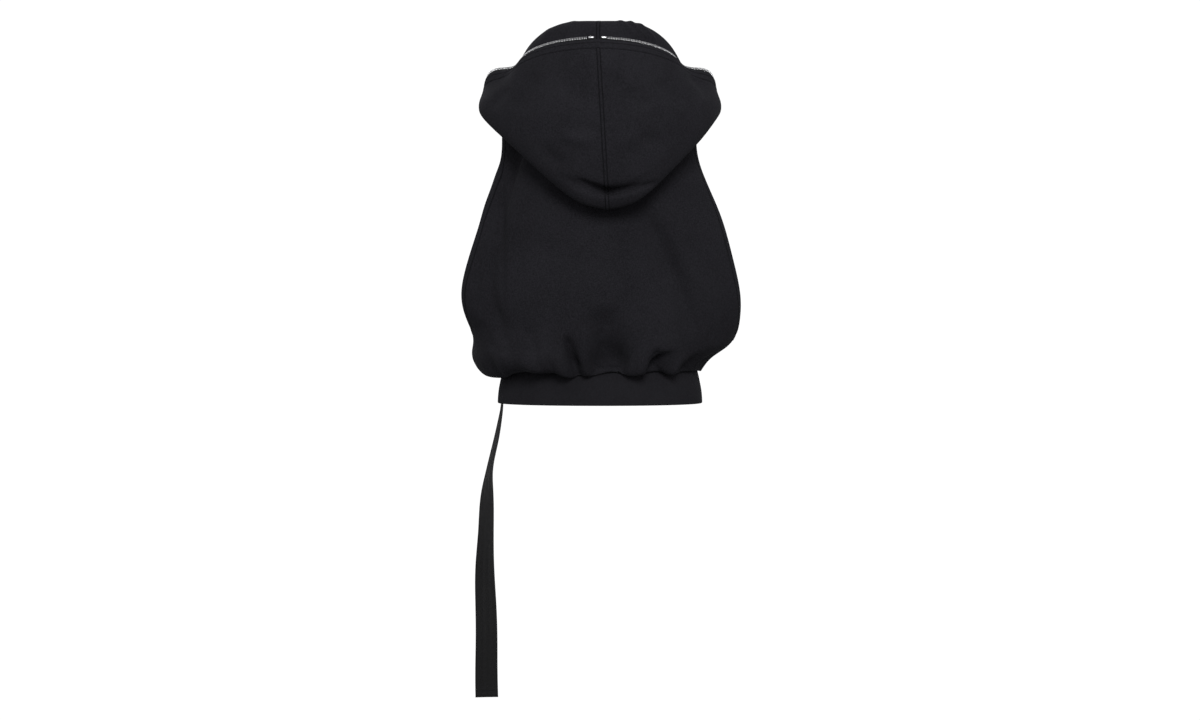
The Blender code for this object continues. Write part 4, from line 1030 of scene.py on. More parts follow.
def loft(profile, sections):
    """A closed solid lofted along its first axis: the profile (points of a unit section) scaled
    in each section, whose columns are place, half width and half height."""
    place, wide, high = np.array(sections).T[:, :, None]
    along = np.broadcast_to(place, (len(place), len(profile)))
    return tube_template(np.stack([along, profile[:, 0] * wide, profile[:, 1] * high], axis=-1))


def round_profile(sides, square=2.0):
    """A unit section: a circle, or with a higher square a rounded box."""
    turn = (np.arange(sides) + 0.5) * 2 * math.pi / sides
    return power(np.column_stack([np.cos(turn), np.sin(turn)]), 2 / square)


# ---------------------------------------------------------------- sewing


def stitches(line, normals, sizes):
    """A row of lock stitches along a line on the cloth's face. Each stitch is a short six-sided
    thread that rises out of the cloth, arches and dips back in."""
    run = lengths(line)
    count = max(int(run[-1] / (sizes.stitch_length + sizes.stitch_gap)), 1)
    at = (np.arange(count) + 0.5) * run[-1] / count
    half, radius = sizes.stitch_length / 2, sizes.thread / 2
    origin, ahead, behind = (read_line(run, line, at + shift) for shift in (0, half, -half))
    along = unit(ahead - behind)
    up = read_line(run, normals, at)
    up = unit(up - along * (along * up).sum(axis=1, keepdims=True))
    side = np.cross(up, along)
    place, size, height = np.array(STITCH_SECTIONS).T[:, :, None]
    shape = round_profile(6)
    rings = [
        np.broadcast_to(place * half, (len(place), len(shape))),
        shape[:, 0] * radius * size,
        shape[:, 1] * radius * size + height * radius,
    ]
    template, faces = tube_template(np.stack(rings, axis=-1))
    return instances(template, faces, origin, along, side, up)


def join_parts(parts):
    """One array of points and one of faces from several."""
    points, faces, start = [], [], 0
    for part_points, part_faces in parts:
        points.append(part_points)
        faces.append(part_faces + start)
        start += len(part_points)
    return np.vstack(points), np.vstack(faces)


def face_line(cloth, distance, axis, from_end=False, way=1):
    """The line on a cloth's outer face (way 1) or inner face (way -1) at a distance from an
    edge, with the directions out of that face."""
    grid, normals, thick = cloth[:3]
    face = grid + normals * way * (np.broadcast_to(thick, grid.shape[:2])[..., None] / 2)
    return line_along(face, normals * way, distance, axis, from_end)


def line_along(grid, normals, distance, axis, from_end=False):
    """The line on a grid at a distance from its first or last row (axis 0) or column (axis 1):
    in each line of the grid, the place on the straight step that reaches the distance."""
    if axis == 1:
        grid, normals = grid.transpose(1, 0, 2), normals.transpose(1, 0, 2)
    if from_end:
        grid, normals = grid[::-1], normals[::-1]
    run = lengths(grid, axis=0)
    row = np.clip((run <= distance).sum(axis=0) - 1, 0, len(run) - 2)
    line = np.arange(grid.shape[1])
    share = (distance - run[row, line]) / np.maximum(run[row + 1, line] - run[row, line], 1e-12)
    share = np.clip(share, 0, 1)
    place, up = (
        values[row, line] + (values[row + 1, line] - values[row, line]) * share[:, None]
        for values in (grid, normals)
    )
    return place, unit(up)


# ---------------------------------------------------------------- shaders


def add_node(tree, kind, inputs=(), **settings):
    """Adds a node; inputs pairs a socket's name or number with a value or a socket to link."""
    made = tree.nodes.new(kind)
    for name, value in settings.items():
        setattr(made, name, value)
    for name, value in dict(inputs).items():
        if isinstance(value, bpy.types.NodeSocket):
            tree.links.new(value, made.inputs[name])
        else:
            made.inputs[name].default_value = value
    return made


def maths(tree, operation, *values):
    """A Math node's output."""
    return add_node(tree, "ShaderNodeMath", enumerate(values), operation=operation).outputs[0]


def plus(tree, first, second):
    return maths(tree, "ADD", first, second)


def times(tree, first, second):
    return maths(tree, "MULTIPLY", first, second)


def object_place(tree):
    """The place on the object, in metres."""
    return add_node(tree, "ShaderNodeTexCoord").outputs["Object"]


def cloth_place(tree):
    """The place across and down the cloth, in metres, from its UV map."""
    place = add_node(tree, "ShaderNodeUVMap", uv_map="cloth").outputs["UV"]
    parts = add_node(tree, "ShaderNodeSeparateXYZ", {"Vector": place})
    return parts.outputs["X"], parts.outputs["Y"]


def ramp(tree, value, low, high, to_low=0.0, to_high=1.0):
    """A value carried smoothly from one range to another."""
    pairs = {"Value": value, "From Min": low, "From Max": high, "To Min": to_low, "To Max": to_high}
    made = add_node(tree, "ShaderNodeMapRange", pairs, interpolation_type="SMOOTHSTEP")
    return made.outputs["Result"]


def noise(tree, place, scale, detail=2.0, roughness=0.5):
    pairs = {"Vector": place, "Scale": scale, "Detail": detail, "Roughness": roughness}
    return add_node(tree, "ShaderNodeTexNoise", pairs).outputs["Fac"]


def shader_group(name, **inputs):
    """Turns a function of a tree and its given sockets, which returns its results by name, into
    one that makes a node group with these inputs and their defaults, once."""

    def wrap(build):
        @functools.lru_cache
        def make():
            group = bpy.data.node_groups.new(name, "ShaderNodeTree")
            for label, default in inputs.items():
                socket = group.interface.new_socket(
                    label, in_out="INPUT", socket_type="NodeSocketFloat"
                )
                socket.default_value = default
            results = build(group, group.nodes.new("NodeGroupInput").outputs)
            for label in results:
                group.interface.new_socket(label, in_out="OUTPUT", socket_type="NodeSocketFloat")
            end = group.nodes.new("NodeGroupOutput")
            for label, socket in results.items():
                group.links.new(socket, end.inputs[label])
            return group

        return make

    return wrap


@shader_group("brushed nap", Fibre=1500.0, Clump=420.0)
def nap_group(tree, given):
    """Brushed cotton nap: fibres, clumps of them and broad cloudiness."""
    place = object_place(tree)
    fibre = noise(tree, place, given["Fibre"], 3.0, 0.65)
    clump = noise(tree, place, given["Clump"], 3.0, 0.6)
    cloud = noise(tree, place, 14.0)
    grain = plus(tree, times(tree, fibre, 0.5), clump)
    shade = plus(tree, times(tree, cloud, 0.35), grain)
    height = plus(tree, times(tree, fibre, 0.45), clump)
    return {"Shade": ramp(tree, shade, 0.55, 1.30), "Height": height}


@shader_group("sewn row", Distance=1.0)
def sewn_group(tree, given):
    """The groove that a row of stitches draws into the cloth, the puckers beside it, and a mask of
    painted shade in the groove.
    """
    away = maths(tree, "ABSOLUTE", given["Distance"])
    groove = ramp(tree, away, 0.0, 0.0017, 1.0, 0.0)
    near = ramp(tree, away, 0.0, 0.011, 1.0, 0.0)
    pucker = times(tree, noise(tree, object_place(tree), 120.0, 1.0), near)
    return {"Groove": groove, "Height": maths(tree, "SUBTRACT", pucker, times(tree, groove, 0.9))}


@shader_group("lint", Scale=42.0, Size=0.035)
def lint_group(tree, given):
    """Sparse pale specks of lint: the middles of a few Voronoi cells."""
    pairs = {"Vector": object_place(tree), "Scale": given["Scale"]}
    cell = add_node(tree, "ShaderNodeTexVoronoi", pairs).outputs
    pick = add_node(tree, "ShaderNodeSeparateColor", {"Color": cell["Color"]}).outputs[0]
    dot = maths(tree, "LESS_THAN", cell["Distance"], given["Size"])
    return {"Mask": times(tree, maths(tree, "GREATER_THAN", pick, 0.93), dot)}


@shader_group("rib knit", Pitch=0.0019)
def rib_group(tree, given):
    """Fine rib knit: rounded wales side by side, each a column of small stitches. Its shade is
    painted shade, darker in the valleys between the wales.
    """
    across, down = cloth_place(tree)
    across = maths(tree, "DIVIDE", across, given["Pitch"])
    wale = maths(tree, "ABSOLUTE", maths(tree, "SINE", times(tree, across, math.pi)))
    course = maths(tree, "DIVIDE", down, times(tree, given["Pitch"], 0.62))
    loop = maths(tree, "SINE", times(tree, course, 2 * math.pi))
    height = plus(tree, wale, times(tree, loop, 0.13))
    # painted shade: the shade follows the wales' height, darkest between them
    return {"Shade": maths(tree, "POWER", wale, 0.5), "Height": height}


@shader_group("herringbone weave", Rib=0.0011, Column=0.0050)
def weave_group(tree, given):
    """A woven band: a herringbone of slanting ribs whose slant changes from column to column. Its
    shade is painted shade, darker in the troughs between the ribs.
    """
    across, down = cloth_place(tree)
    column = maths(tree, "DIVIDE", across, given["Column"])
    slant = times(tree, maths(tree, "PINGPONG", column, 1.0), given["Column"])
    phase = maths(tree, "DIVIDE", plus(tree, down, slant), given["Rib"])
    rib = maths(tree, "SINE", times(tree, phase, 2 * math.pi))
    yarn = maths(tree, "SINE", times(tree, column, 40.0))
    height = plus(tree, rib, times(tree, yarn, 0.25))
    # painted shade: the shade follows the ribs' height, darkest in their troughs
    return {"Shade": ramp(tree, rib, -1.0, 1.0), "Height": height}


@shader_group("rubbed metal", Scale=500.0)
def rub_group(tree, given):
    """Fine rubbing on metal: long scratches and soft smudges."""
    place = object_place(tree)
    stretched = add_node(tree, "ShaderNodeMapping", {"Vector": place, "Scale": (1.0, 1.0, 9.0)})
    return {
        "Scratch": noise(tree, stretched.outputs[0], given["Scale"], 2.0, 0.7),
        "Smudge": noise(tree, place, times(tree, given["Scale"], 0.3)),
    }


def use_group(tree, group, **inputs):
    """Places a node group in a tree and gives its outputs."""
    return add_node(tree, "ShaderNodeGroup", inputs, node_tree=group).outputs


def start_material(name, **constants):
    """A material whose Principled shader holds these constants on its own sockets."""
    made = bpy.data.materials.new(name)
    made.use_nodes = True
    shader = made.node_tree.nodes["Principled BSDF"]
    for label, value in constants.items():
        shader.inputs[label.replace("_", " ")].default_value = value
    return made, made.node_tree, shader


def shade_between(tree, colour, shade, dark, light):
    """The colour times a factor that goes from dark to light with the shade."""
    pairs = {"Value": shade, "To Min": dark, "To Max": light}
    factor = add_node(tree, "ShaderNodeMapRange", pairs).outputs["Result"]
    grey = add_node(tree, "ShaderNodeCombineColor", {0: factor, 1: factor, 2: factor}).outputs[0]
    return mix_colour(tree, 1.0, (*colour, 1.0), grey, "MULTIPLY")


def mix_colour(tree, mask, first, second, blend="MIX"):
    """One colour, and where the mask is 1 the second, or their product."""
    pairs = {0: mask, 6: first, 7: second}
    return add_node(tree, "ShaderNodeMix", pairs, data_type="RGBA", blend_type=blend).outputs[2]


def finish_shader(tree, shader, colour, layers):
    """Links a colour and the relief of several layers, each a height, its distance and strength."""
    tree.links.new(colour, shader.inputs["Base Color"])
    pairs = {}
    for height, distance, strength in layers:
        pairs.update({"Height": height, "Distance": distance, "Strength": strength})
        pairs["Normal"] = add_node(tree, "ShaderNodeBump", pairs).outputs["Normal"]
    tree.links.new(pairs["Normal"], shader.inputs["Normal"])


def cloth_material(
    name, colour, shades, relief, nap_sizes=(), pattern=None, share=0.0, **constants
):
    """A cloth. Its nap and, up to a share, its knit or weave (a group and its sizes) vary the
    colour between two shades, and its sewn rows, knit and nap give the relief. The knit's or
    weave's share is painted shade, darker in its valleys. Cloth with no pattern is fleece: painted
    shade darkens it in its sewn rows, and it has lint on it."""
    made, tree, shader = start_material(name, **constants)
    distance = add_node(tree, "ShaderNodeAttribute", attribute_name="sewn").outputs["Fac"]
    sewn = use_group(tree, sewn_group(), Distance=distance)
    nap = use_group(tree, nap_group(), **dict(zip(("Fibre", "Clump"), nap_sizes)))
    sewn_relief, nap_relief, nap_strength = relief
    layers = [(sewn["Height"], sewn_relief, 1.0), (nap["Height"], nap_relief, nap_strength)]
    if pattern:
        group, sizes = pattern
        woven = use_group(tree, group(), **sizes)
        layers.insert(1, (woven["Height"], WOVEN_RELIEF, 1.0))
        shade = plus(tree, times(tree, woven["Shade"], share), times(tree, nap["Shade"], 1 - share))
        base = shade_between(tree, colour, shade, *shades)
    else:
        lint = use_group(tree, lint_group())
        base = shade_between(tree, colour, nap["Shade"], *shades)
        # Painted shade: the fleece is darkened along its sewn rows, in their grooves.
        base = mix_colour(tree, times(tree, sewn["Groove"], 0.7), base, PAINTED_GROOVE_SHADE)
        base = mix_colour(tree, times(tree, lint["Mask"], 0.5), base, LINT_COLOUR)
    finish_shader(tree, shader, base, layers)
    return made


@functools.lru_cache
def fleece_material():
    looks = bpy.context.scene.hoodie_looks
    return cloth_material(
        "brushed fleece", looks.fleece_colour, (0.60, 1.42), (0.0009, 0.00045, 0.75),
        Roughness=0.97, Specular_IOR_Level=0.03,
        Sheen_Weight=looks.fleece_sheen, Sheen_Roughness=0.5, Sheen_Tint=NAP_TINT,
    )


@functools.lru_cache
def rib_material():
    looks = bpy.context.scene.hoodie_looks
    return cloth_material(
        "rib knit", looks.rib_colour, (0.62, 1.36), (0.0007, 0.0002, 0.6), (1900.0, 600.0),
        (rib_group, {}), 0.2, Roughness=0.95, Specular_IOR_Level=0.03,
        Sheen_Weight=looks.fleece_sheen * 0.85, Sheen_Roughness=0.45, Sheen_Tint=NAP_TINT,
    )


@functools.lru_cache
def woven_material(name):
    """The zip's tape, or the strap's webbing, which is a little smoother."""
    looks = bpy.context.scene.hoodie_looks
    colour, roughness, sheen, rib, column = {
        "zip tape": (looks.tape_colour, 0.85, 0.03, 0.0008, 0.0032),
        "webbing": (looks.webbing_colour, 0.72, 0.05, 0.0013, 0.0057),
    }[name]
    return cloth_material(
        name, colour, (0.72, 1.25), (0.0005, 0.00008, 0.6), (2600.0, 900.0),
        (weave_group, {"Rib": rib, "Column": column}), 0.5, Roughness=roughness,
        Specular_IOR_Level=0.15, Sheen_Weight=sheen, Sheen_Roughness=0.4,
        Sheen_Tint=(0.9, 0.9, 0.95, 1.0),
    )


@functools.lru_cache
def thread_material():
    colour = bpy.context.scene.hoodie_looks.thread_colour
    made, tree, shader = start_material(
        "sewing thread", Roughness=0.75, Specular_IOR_Level=0.06, Sheen_Weight=0.01
    )
    nap = use_group(tree, nap_group(), Fibre=5200.0, Clump=2600.0)
    colour = shade_between(tree, colour, nap["Shade"], 0.75, 1.3)
    finish_shader(tree, shader, colour, [(nap["Height"], 0.00005, 1.0)])
    return made


@functools.lru_cache
def metal_material():
    colour = bpy.context.scene.hoodie_looks.metal_colour
    made, tree, shader = start_material("polished nickel", Metallic=1.0)
    rub = use_group(tree, rub_group())
    roughness = ramp(tree, rub["Scratch"], 0.3, 0.75, 0.16, 0.36)
    tree.links.new(roughness, shader.inputs["Roughness"])
    colour = shade_between(tree, colour, rub["Smudge"], 0.86, 1.08)
    finish_shader(tree, shader, colour, [(rub["Scratch"], 0.00002, 1.0)])
    return made


# ---------------------------------------------------------------- what each piece is made from


def body_cloth(angle, station, arms):
    """Points, normals, thickness and sewn distance of a body panel. The cloth is rounded off at
    its edges, and turned in and sewn down round the arm openings."""
    hem = bpy.context.scene.hoodie_sizes.arm_hem
    grid = creased_body(angle, station)
    normals = surface_normals(creased_body, angle, station)
    to_arm = np.full(grid.shape[:2], 1.0)
    for side in arms:
        to_arm = np.minimum(to_arm, distance_to_line(grid, creased_body(*arm_edge(side))))
    turned = 1 - smooth_step((to_arm - hem + 0.0006) / 0.0022)
    to_edge = np.minimum(*edge_distances(grid, 1))
    to_seam = np.minimum(*edge_distances(grid, 0))
    thick = CLOTH + ARM_HEM_EXTRA * turned * smooth_step(to_edge / 0.0015)
    thick = thick * rounded(to_edge, BODY_EDGE_ROUND) * rounded(to_seam, BODY_SEAM_ROUND)
    return grid, normals, thick - groove(to_arm - hem), to_arm - hem


@functools.lru_cache
def back_cloth():
    grid, normals, thick, sewn = body_cloth(*back_places(), ("left", "right"))
    return grid, normals, thick, nearest_of(sewn, NECK_ROW - lengths(grid, axis=0))


@functools.lru_cache
def front_cloth(side):
    grid, normals, thick, sewn = body_cloth(*front_places(side), (side,))
    to_zip, to_neck = lengths(grid, axis=1), lengths(grid, axis=0)
    return grid, normals, thick, nearest_of(sewn, to_zip - ZIP_ROW, NECK_ROW - to_neck)


@functools.lru_cache
def hem_cloth():
    grid, normals = hem_grid()
    to_seam, to_fold = edge_distances(grid, 0)
    to_zip = np.minimum(*edge_distances(grid, 1))
    thick = RIB_CLOTH * rounded(to_seam, HEM_SEAM_ROUND) * rounded(to_fold, RIB_CLOTH / 2)
    return grid, normals, thick, nearest_of(to_zip - ZIP_ROW)


def hood_cloth(side, part):
    """Points, normals, thickness and sewn distance of a hood half's panel (0) or zip band (1)."""
    grid, normals = hood_grids(side)[part]
    to_start, to_end = edge_distances(grid, 1)
    to_seam, to_throat = edge_distances(grid, 0)
    felled = SEAM_EXTRA * (1 - smooth_step((to_seam - SEAM_ROW - 0.0002) / 0.0018))
    thick = (CLOTH + felled) * rounded(to_start, HOOD_EDGE_ROUND) * rounded(to_end, HOOD_EDGE_ROUND)
    thick = thick * rounded(to_throat, HOOD_THROAT_ROUND)
    if part == 0:
        sewn, depth = nearest_of(SEAM_ROW - to_seam), 1
    else:
        sewn, depth = np.clip(np.abs(to_end - ZIP_ROW), SHALLOW_ROW, SEWN_LIMIT), 0.3
    return grid, normals, thick - depth * groove(sewn), sewn


@functools.lru_cache
def zip_path(side):
    """The zipped edge, from the hem up the front and along the hood to its centre seam. Each row
    holds a point of the edge, the direction into the cloth, the direction out of the cloth's
    face, half the cloth's thickness there and how far under it the tape can reach."""
    hem, front = hem_cloth(), front_cloth(side)
    band = hood_grids(side)[1]
    edges, outs, halves = [], [], []
    for (grid, normal), column, half, start in (
        (hem[:2], -1 if side == "right" else 0, RIB_CLOTH / 2 + SEAM_GAP, -1),
        (front[:2], 0, CLOTH / 2, -8),
        (band, -1, CLOTH / 2, -1),
    ):
        rows = slice(start, None, -1)
        edges.append(grid[rows, column])
        outs.append(normal[rows, column])
        halves.append(np.full((len(edges[-1]), 1), half))
    edge, out, half = np.vstack(edges), np.vstack(outs), np.vstack(halves)
    corner_row = len(edges[0]) + len(edges[1]) - 1
    corner = edge[corner_row]
    length = lengths(edge)
    keep = np.concatenate([[True], np.diff(length) > 1e-5])
    middle = length[corner_row]
    at = length[keep & (np.abs(length - middle) > CORNER_REACH)]
    at = np.sort(np.append(at, middle + CORNER_REACH * np.linspace(-0.9, 0.9, CORNER_ROWS)))
    # A coarser reading of the line rounds the corner and evens out the cloth's ripples.
    coarse = np.linspace(0, length[-1], 130)
    coarse = coarse[np.abs(coarse - middle) > CORNER_REACH * 0.2]
    rows = read_line(length, np.hstack([edge, out, half]), coarse)
    edge, out, half = np.split(through(coarse, rows, at), [3, 6], axis=1)
    away = np.linalg.norm(edge - corner, axis=1, keepdims=True)
    room = 0.3 * np.maximum(away - CORNER_REACH / 3, 0) - 2 * SEAM_GAP
    along = unit(np.gradient(edge, axis=0))
    out = unit(out - along * (along * out).sum(axis=1, keepdims=True))
    into = np.cross(out, along) * (1 if side == "right" else -1)
    return np.hstack([edge, into, out, half, np.minimum(room, TAPE_UNDER)])


def stretch(path, first, last):
    """The part of a path between two distances from its crown end."""
    left = lengths(path[:, :3])
    left = left[-1] - left
    inside = (left < first - 1e-4) & (left > last + 1e-4)
    at = np.concatenate([[min(first, left[0])], left[inside], [last]])
    return read_line(-left, path, -at)


def path_frame(path):
    """Level line of the tape, direction out of the cloth's edge, and direction out of its face."""
    edge, into, out, half = path[:, :3], path[:, 3:6], path[:, 6:9], path[:, 9:10]
    return edge - out * (half + TAPE_GAP + TAPE / 2), -into, out


def zip_place(height):
    """The middle of the closed zip at a height, and how far it leans out towards its foot."""
    points = []
    for side in ("left", "right"):
        path = zip_path(side)
        front = path[(path[:, 1] > 0) & (np.abs(path[:, 0]) < 0.05)]
        order = np.argsort(front[:, 2])
        level = path_frame(front)[0]
        ends = (height - 0.006, height + 0.006)
        points.append([np.interp(end, front[order, 2], level[order, 1]) for end in ends])
    low, high = np.mean(points, axis=0)
    return Vector((0, (low + high) / 2, height)), math.atan2(low - high, 0.012)


def slab(outline, thick, bevel):
    """A flat plate: its outline (points in X and Z) at several depths, drawn in at both faces to
    round its edges. Y is the way through it."""
    middle = outline.mean(axis=0)
    reach = np.linalg.norm(outline - middle, axis=1, keepdims=True)
    depth, inset = np.array(SLAB_SECTIONS).T[:, :, None, None]
    shape = middle + (outline - middle) * (1 - bevel * inset / reach)
    depths = np.broadcast_to(depth * thick, (*shape.shape[:2], 1))
    points, faces = tube_template(np.concatenate([depths, shape], axis=-1))
    return points[:, [1, 0, 2]], faces


def oblong(half_width, low, high, sides, square, taper=1.0):
    """An outline in X and Z: a rounded box whose top is narrower by taper."""
    shape = round_profile(sides, square)
    z = (low + high) / 2 + shape[:, 1] * (high - low) / 2
    share = (z - low) / (high - low)
    return np.column_stack([shape[:, 0] * half_width * (1 + (taper - 1) * share), z])


def arch(width, outer, foot, height, thick, sides=8, steps=13):
    """A bridge over a slider: a rounded bar along a half super-ellipse in Y and Z."""
    turn = np.linspace(0, math.pi, steps)
    z = -foot * power(np.cos(turn), 2 / 3.5)
    y = outer + height * power(np.sin(turn), 2 / 3.5)
    centre = np.column_stack([0 * z, y, z])
    along = unit(np.gradient(centre, axis=0))
    side = np.tile([1.0, 0, 0], (steps, 1))
    up = np.cross(side, along)
    shape = round_profile(sides, 3.0)
    rings = (
        centre[:, None]
        + side[:, None] * (shape[None, :, :1] * width / 2)
        + up[:, None] * (shape[None, :, 1:] * thick / 2)
    )
    return tube_template(rings)


def moved(part, place, turn=0.0):
    """A part's points turned about X and moved."""
    points, faces = part
    return points @ np.array(Matrix.Rotation(turn, 3, "X")).T + np.array(place), faces


def strap_cloth():
    """Points, normals, thickness and sewn distance of the strap, which has a slight cup across
    its width and a slow wave down its length, and is folded over and sewn at its free end."""
    at, x, turn = np.array(STRAP).T
    rows = at[0] + (at[-1] - at[0]) * np.linspace(0, 1, STRAP_ROWS)
    rows = np.sort(np.concatenate([rows, at[-1] + EDGE_STEPS[1:]]))[::-1, None]
    x, turn = through(-at, np.stack([x, turn], axis=1), -rows[:, 0]).T[..., None]
    turn = np.radians(turn)
    middle = np.linspace(0.0016, STRAP_WIDTH - 0.0016, STRAP_COLUMNS)
    run = np.concatenate([STRAP_EDGE_STEPS, middle, STRAP_WIDTH - STRAP_EDGE_STEPS[::-1]])
    across = run - STRAP_WIDTH / 2
    free = smooth_step((at[0] - rows) / 0.15)
    wave = STRAP_WAVE * np.sin(rows * 31 + 0.4)
    cup = STRAP_CUP * np.sin(rows * 17) * ((across / STRAP_WIDTH * 2) ** 2 - 0.4)
    off = (wave + cup) * free
    sideways = x + np.sin(turn) * across + np.cos(turn) * off
    forward = STRAP_Y + np.cos(turn) * across - np.sin(turn) * off
    grid = np.stack([sideways, forward, rows + 0 * across], axis=-1)
    to_end, to_side = edge_distances(grid, 0)[1], np.minimum(*edge_distances(grid, 1))
    folded = 1 - smooth_step((to_end - STRAP_END_FOLD) / 0.0012)
    thick = STRAP_THICK * (1 + STRAP_FOLD_EXTRA * folded)
    thick = thick * rounded(to_side, STRAP_EDGE_ROUND) * rounded(to_end, STRAP_END_ROUND)
    upper, lower = STRAP_END_ROWS
    return grid, grid_normals(grid), thick, nearest_of(to_end - upper, lower - to_end)


def tape_path(side):
    """The zipped edge from the hem to the tape's end at the crown."""
    path = zip_path(side)
    return stretch(path, lengths(path[:, :3])[-1], CROWN_TAPE_END)


def tape_length(side):
    return lengths(path_frame(tape_path(side))[0])[-1]


def tape_cloth(side):
    """Points, normals and thickness of a zip tape, which thickens to a cord where the teeth
    clamp on."""
    path = tape_path(side)
    level, outward, out = path_frame(path)
    inner = -path[:, 10:11]
    share = np.concatenate([[0, 0.03], np.linspace(0.08, 0.9, 9), [0.95, 1.0]])[None, :]
    place = inner + (TEETH_INNER + 0.0010 - inner) * share
    grid = level[:, None] + outward[:, None] * place[..., None]
    normals = np.broadcast_to(out[:, None], grid.shape)
    thick = TAPE * (1 + 0.5 * smooth_step((place - TEETH_INNER + 0.0004) / 0.0004))
    return grid, normals, thick


def arm_line(side):
    """The row of stitches round an arm opening: its places and the directions out of the cloth."""
    way = 1 if side == "left" else -1
    hem = bpy.context.scene.hoodie_sizes.arm_hem
    angle, station = march(*(part[:-1] for part in arm_edge(side)), way * hem)
    up = surface_normals(creased_body, angle, station)
    line = creased_body(angle, station) + up * (CLOTH + ARM_HEM_EXTRA * 0.5) / 2
    return [np.vstack([part, part[:1]]) for part in (line, up)]


def sewn_row(cloth, distance, axis, first, last, **face):
    """A row of stitches on a cloth at a distance from an edge, between two lines of its grid."""
    line, up = face_line(cloth, distance, axis, **face)
    return stitches(line[first:last], up[first:last], bpy.context.scene.hoodie_sizes)


# ---------------------------------------------------------------- settings


def length_property(label, words, default, low, high, **more):
    return FloatProperty(
        name=label, description=words, default=default, min=low, max=high,
        subtype="DISTANCE", unit="LENGTH", **more,
    )


def colour_property(label, words, value):
    return FloatVectorProperty(
        name=label, description=words, default=value, size=3, min=0, max=1, subtype="COLOR"
    )


class HoodieSizes(bpy.types.PropertyGroup):
    """Sizes of the sewing and the zip that a user would change."""

    arm_hem: length_property(
        "Arm hem", "Width of the turned edge of the arm openings", 0.012, 0.005, 0.03
    )
    stitch_length: length_property(
        "Stitch length", "Length of one stitch", 0.0026, 0.001, 0.006, precision=4
    )
    stitch_gap: length_property(
        "Stitch gap", "Distance between one stitch and the next", 0.0006, 0.0001, 0.002, precision=4
    )
    thread: length_property(
        "Thread", "Diameter of the sewing thread", 0.0005, 0.0001, 0.001, precision=4
    )
    tooth_pitch: length_property(
        "Tooth pitch", "Distance from one zip tooth to the next on the same side",
        0.0029, 0.002, 0.006, precision=4,
    )


class HoodieLooks(bpy.types.PropertyGroup):
    """Colours and sheen of the cloth, the thread and the metal."""

    fleece_colour: colour_property("Fleece", "Colour of the fleece", (0.0110, 0.0107, 0.0128))
    rib_colour: colour_property("Rib", "Colour of the rib hem", (0.0110, 0.0107, 0.0126))
    tape_colour: colour_property("Zip tape", "Colour of the zip's tape", (0.0050, 0.0050, 0.0056))
    webbing_colour: colour_property("Strap", "Colour of the strap", (0.0070, 0.0069, 0.0074))
    thread_colour: colour_property("Thread", "Colour of the thread", (0.0060, 0.0060, 0.0070))
    metal_colour: colour_property("Zip metal", "Colour of the zip's metal", (0.44, 0.44, 0.45))
    fleece_sheen: FloatProperty(
        name="Nap", description="How much the brushed nap lights up at a grazing angle",
        default=0.012, min=0.0, max=1.0, subtype="FACTOR",
    )


class HoodieStage(bpy.types.PropertyGroup):
    """Camera, light and floor."""

    camera_distance: length_property(
        "Camera distance", "Distance from the camera to the garment's middle", 4.0, 1.0, 12.0
    )
    frame_width: length_property(
        "Frame width", "Width of the picture at the garment's middle", 2.1, 0.2, 10.0
    )
    eye_height: length_property(
        "Eye height", "Height of the camera above the neck base", -0.37625, -3.0, 3.0
    )
    aim_height: length_property(
        "Aim height", "Height that the camera looks at", -0.48125, -3.0, 3.0
    )
    key_power: FloatProperty(
        name="Key light", description="Power of the large soft light, in watts",
        default=73.0, min=0.0, max=2000.0, unit="POWER",
    )
    room_light: FloatProperty(
        name="Room light", description="Strength of the even white light from all round",
        default=0.88, min=0.0, max=10.0,
    )
    backdrop_light: FloatProperty(
        name="Backdrop", description="How bright the white backdrop and the floor look",
        default=1.05, min=0.0, max=10.0,
    )


# ---------------------------------------------------------------- operators


class HOODIE_OT_body(bpy.types.Operator):
    """Makes the back and the two fronts from heavy fleece"""

    bl_idname = "hoodie.body"
    bl_label = "Back and fronts"

    def execute(self, context):
        back = place_cloth("back_panel", back_cloth(), fleece_material(), "back")
        for side in ("left", "right"):
            cloth = front_cloth(side)
            front = place_cloth(
                f"front_panel_{side}", cloth, fleece_material(), f"front_{side}"
            )
        return {"FINISHED"}


class HOODIE_OT_hood(bpy.types.Operator):
    """Makes the hood's two halves and the strips that carry its zip"""

    bl_idname = "hoodie.hood"
    bl_label = "Hood"

    def execute(self, context):
        for side in ("left", "right"):
            half, strip = (
                place_cloth(
                    f"{name}_{side}", hood_cloth(side, part), fleece_material(), f"{node}_{side}",
                )
                for part, name, node in ((0, "hood_half", "hood"), (1, "hood_strip", "hood_band"))
            )
        return {"FINISHED"}


class HOODIE_OT_hem(bpy.types.Operator):
    """Makes the rib hem"""

    bl_idname = "hoodie.hem"
    bl_label = "Rib hem"

    def execute(self, context):
        band = place_cloth("rib_band", hem_cloth(), rib_material(), "hem_rib")
        return {"FINISHED"}


class HOODIE_OT_strap(bpy.types.Operator):
    """Makes the long flat strap, folded over and sewn at its free end"""

    bl_idname = "hoodie.strap"
    bl_label = "Strap"

    def execute(self, context):
        cloth = strap_cloth()
        band = place_cloth("strap_band", cloth, woven_material("webbing"), "strap")
        parts = [
            sewn_row(cloth, distance, 0, 3, -3, from_end=True, way=way)
            for way in (1, -1)
            for distance in STRAP_END_ROWS
        ]
        thread = place_piece(new_mesh("strap_stitching", *join_parts(parts)), thread_material())
        return {"FINISHED"}


